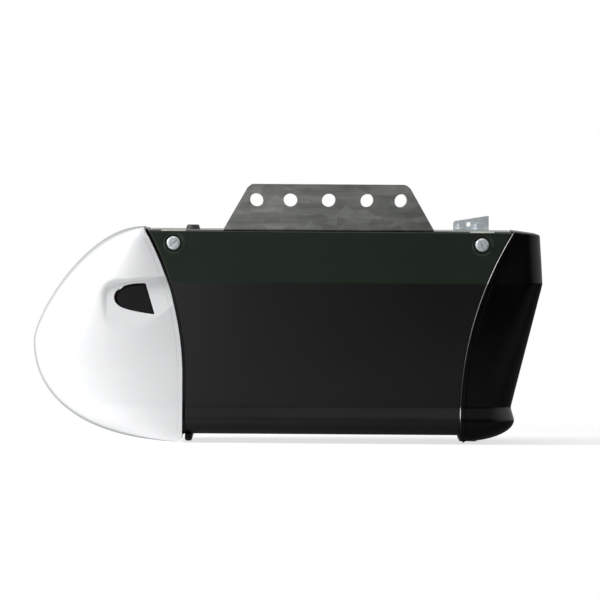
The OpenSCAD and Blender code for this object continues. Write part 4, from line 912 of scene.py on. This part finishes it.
def tab_arm(side):
    """The cranked arm up to its barrel: a thick line in plan, carried up in height."""
    line = np.array([
        [window_x - 7, tab_face - 1.4 * tab_t], [window_x + 5, tab_face - 1.5 * tab_t],
        [window_x + 9, tab_face - 1.7 * tab_t], [pivot_along, pivot_out]])
    thick = np.array([0.6, 0.8, 0.9, 1.0])
    heading = np.gradient(line, axis=0)
    across = np.stack([-heading[:, 1], heading[:, 0]], 1)
    across /= np.linalg.norm(across, axis=1)[:, None]
    section = np.vstack([line + across * thick[:, None], (line - across * thick[:, None])[::-1]])
    n = len(section)
    points = [np.column_stack([*from_scoop(*section.T, side), np.full(n, z)])
              for z in (barrel_low + 0.2, barrel_high - 0.2)]
    k = np.arange(n // 2 - 1)
    ends = np.stack([k, k + 1, n - 2 - k, n - 1 - k], 1)
    return np.vstack(points), np.vstack([ring_faces(2, n), ends, ends[:, ::-1] + n])


def tab_barrel(side):
    """The barrel and its two journals, turned about the hinge line."""
    bottom, top = barrel_low - journal_l, barrel_high + journal_l
    z, r = np.array([[bottom, 0], [bottom, journal_r], [barrel_low, journal_r],
                     [barrel_low, barrel_r], [barrel_high, barrel_r],
                     [barrel_high, journal_r], [top, journal_r], [top, 0]]).T
    turn = np.radians(np.arange(0, 360, 15))
    cx, cy = from_scoop(pivot_along, pivot_out, side)
    x, y = cx + r[:, None] * np.cos(turn), cy + r[:, None] * np.sin(turn)
    z = np.broadcast_to(z[:, None], x.shape)
    return np.stack([x, y, z], -1).reshape(-1, 3), ring_faces(len(r), len(turn))


tab_black = finish("tab_black_plastic", (0.0012, 0.0012, 0.0013), (0.0018, 0.0018, 0.0019),
                   gloss=(0.13, 0.18), patch=60.0, grain=(2400.0, 0.015),
                   Specular_IOR_Level=0.3)
for side, part in ((-1, "release_tab_right"), (1, "release_tab_left")):
    points, faces = joined([tab_head(side), tab_arm(side), tab_barrel(side)])
    tab = solid_piece(part + "_moulding", points, faces, tab_black, smooth_angle=40,
                      merge=1e-6)
    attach(tab, part)
    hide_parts(part)

# ---- Studio ----
# A white floor and surround. A strong soft box stands over the lens's end, a slim one beside
# it and a broad one overhead, and it is dark behind the camera, which looks along +Y.

view_scale = 0.000826      # metres across one 600th of the picture
camera_distance = 12.0
camera_lift, camera_roll = radians(0.6), radians(-0.4)
view_x, view_y, view_z = 0.0097, -0.06, 0.1172
white = (1, 1, 1, 1)
smooth = "SMOOTHSTEP"


def floor_material():
    """A floor that is one thing to the camera, another to glossy rays and a third to the
    rest, so that the object's shadow, its sheen and its light can each be set."""
    made = bpy.data.materials.new("pale_floor")
    made.use_nodes = True
    tree = made.node_tree
    tree.nodes.clear()
    path = add(tree, "LightPath").outputs
    x, y, _ = add(tree, "SeparateXYZ", on_object(tree)).outputs
    reach = add(tree, "VectorMath", on_object(tree), operation="LENGTH").outputs["Value"]
    # to the camera: a thin shadow on white, and pure white farther off
    near = add(tree, "AddShader", add(tree, "BsdfDiffuse", (0.45, 0.45, 0.45, 1)),
               add(tree, "Emission", white, 0.72))
    seen = add(tree, "MixShader", ramp(tree, reach, 0.45, 0.9, kind=smooth), near,
               add(tree, "Emission", white, 1.0))
    # to glossy rays: brighter towards the lens's end and near the object, dimmer under it
    along = ramp(tree, x, 0.16, -0.11, 0.0, 1.12)
    steep = add(tree, "Math", along, 7.0, operation="POWER")
    far = add(tree, "Math", steep, 0.45, ramp(tree, along, 0.0, 1.12, 0.0, 0.06),
              operation="MULTIPLY_ADD")
    lit = add(tree, "Mix", Factor=ramp(tree, y, -0.37, -0.18, kind=smooth), A=far,
              B=ramp(tree, along, 0.0, 1.12, 0.16, 0.5))
    under = add(tree, "Math", lit, ramp(tree, y, -0.15, -0.105, 1.0, 0.4, kind=smooth),
                operation="MULTIPLY")
    # to the rest: dull, with a pale pool under the object
    pool = ramp(tree, y, -0.55, -0.14, 0.0, 0.95, kind=smooth)
    plain = add(tree, "AddShader", add(tree, "BsdfDiffuse", (0.3, 0.3, 0.3, 1)),
                add(tree, "Emission", white, pool))
    inner = add(tree, "MixShader", path["Is Glossy Ray"], plain,
                add(tree, "Emission", white, under))
    add(tree, "OutputMaterial", add(tree, "MixShader", path["Is Camera Ray"], inner, seen))
    return made


floor_half = 30.0
floor_mesh = bpy.data.meshes.new("floor")
floor_mesh.from_pydata([(i * floor_half, j * floor_half, 0)
                        for i, j in ((-1, -1), (1, -1), (1, 1), (-1, 1))], [], [(0, 1, 2, 3)])
floor_mesh.materials.append(floor_material())
floor = placed("floor", floor_mesh)
floor.location.z = -0.0005

world = bpy.data.worlds.new("surround")
bpy.context.scene.world = world
world.use_nodes = True
tree = world.node_tree
tree.nodes.clear()
path = add(tree, "LightPath").outputs
x, y, z = add(tree, "SeparateXYZ", add(tree, "TexCoord").outputs["Generated"]).outputs
# what a mirror sees is dark behind the camera and pale ahead, beside and above the object
ahead = ramp(tree, y, -0.95, 0.1, 0.02, 0.5, kind=smooth)
off_side = add(tree, "Math", x, x, operation="MULTIPLY")
aside = ramp(tree, off_side, 0.25, 0.9, 0.02, 0.4, kind=smooth)
above = ramp(tree, z, 0.3, 0.6, 0.0, 0.3, kind=smooth)
strength = add(tree, "Math", add(tree, "Math", ahead, aside, operation="ADD"), above,
               operation="ADD")
mirrored = add(tree, "Math", path["Is Glossy Ray"], path["Is Transmission Ray"],
               operation="MAXIMUM")
inner = add(tree, "MixShader", mirrored, add(tree, "Background", white, 0.2),
            add(tree, "Background", white, strength))
outer = add(tree, "MixShader", path["Is Camera Ray"], inner,
            add(tree, "Background", white, 1.0))
add(tree, "OutputWorld", outer)


def area_light(name, place, target, size, watts):
    """A soft box at place that faces target."""
    lamp = bpy.data.lights.new(name, "AREA")
    lamp.shape = "RECTANGLE"
    lamp.size, lamp.size_y = size
    lamp.energy = watts
    holder = placed(name, lamp)
    holder.location = place
    aim = Vector(target) - Vector(place)
    holder.rotation_euler = aim.to_track_quat("-Z", "Y").to_euler()


area_light("top_box", (-0.1, -0.35, 1.8), (0, 0, 0.1), (1.4, 1.4), 11)
area_light("side_box", (-0.95, -0.34, 0.32), (0, -0.1, 0.1), (0.3, 0.6), 2.3)
area_light("key_box", (-1.35, -0.45, 0.95), (-0.05, 0, 0.1), (0.7, 0.7), 15)

scene = bpy.context.scene
scene.view_settings.view_transform = "Standard"
lens_data = bpy.data.cameras.new("camera")
lens_data.sensor_width = 36
lens_data.lens = lens_data.sensor_width * camera_distance / (600 * view_scale)
lens_data.clip_end = 100
camera = placed("camera", lens_data)
aim = Vector((view_x, view_y, view_z))
back = Vector((0, -np.cos(camera_lift), np.sin(camera_lift)))
camera.location = aim + back * camera_distance
camera.rotation_euler = (radians(90) - camera_lift, camera_roll, 0)
scene.camera = camera
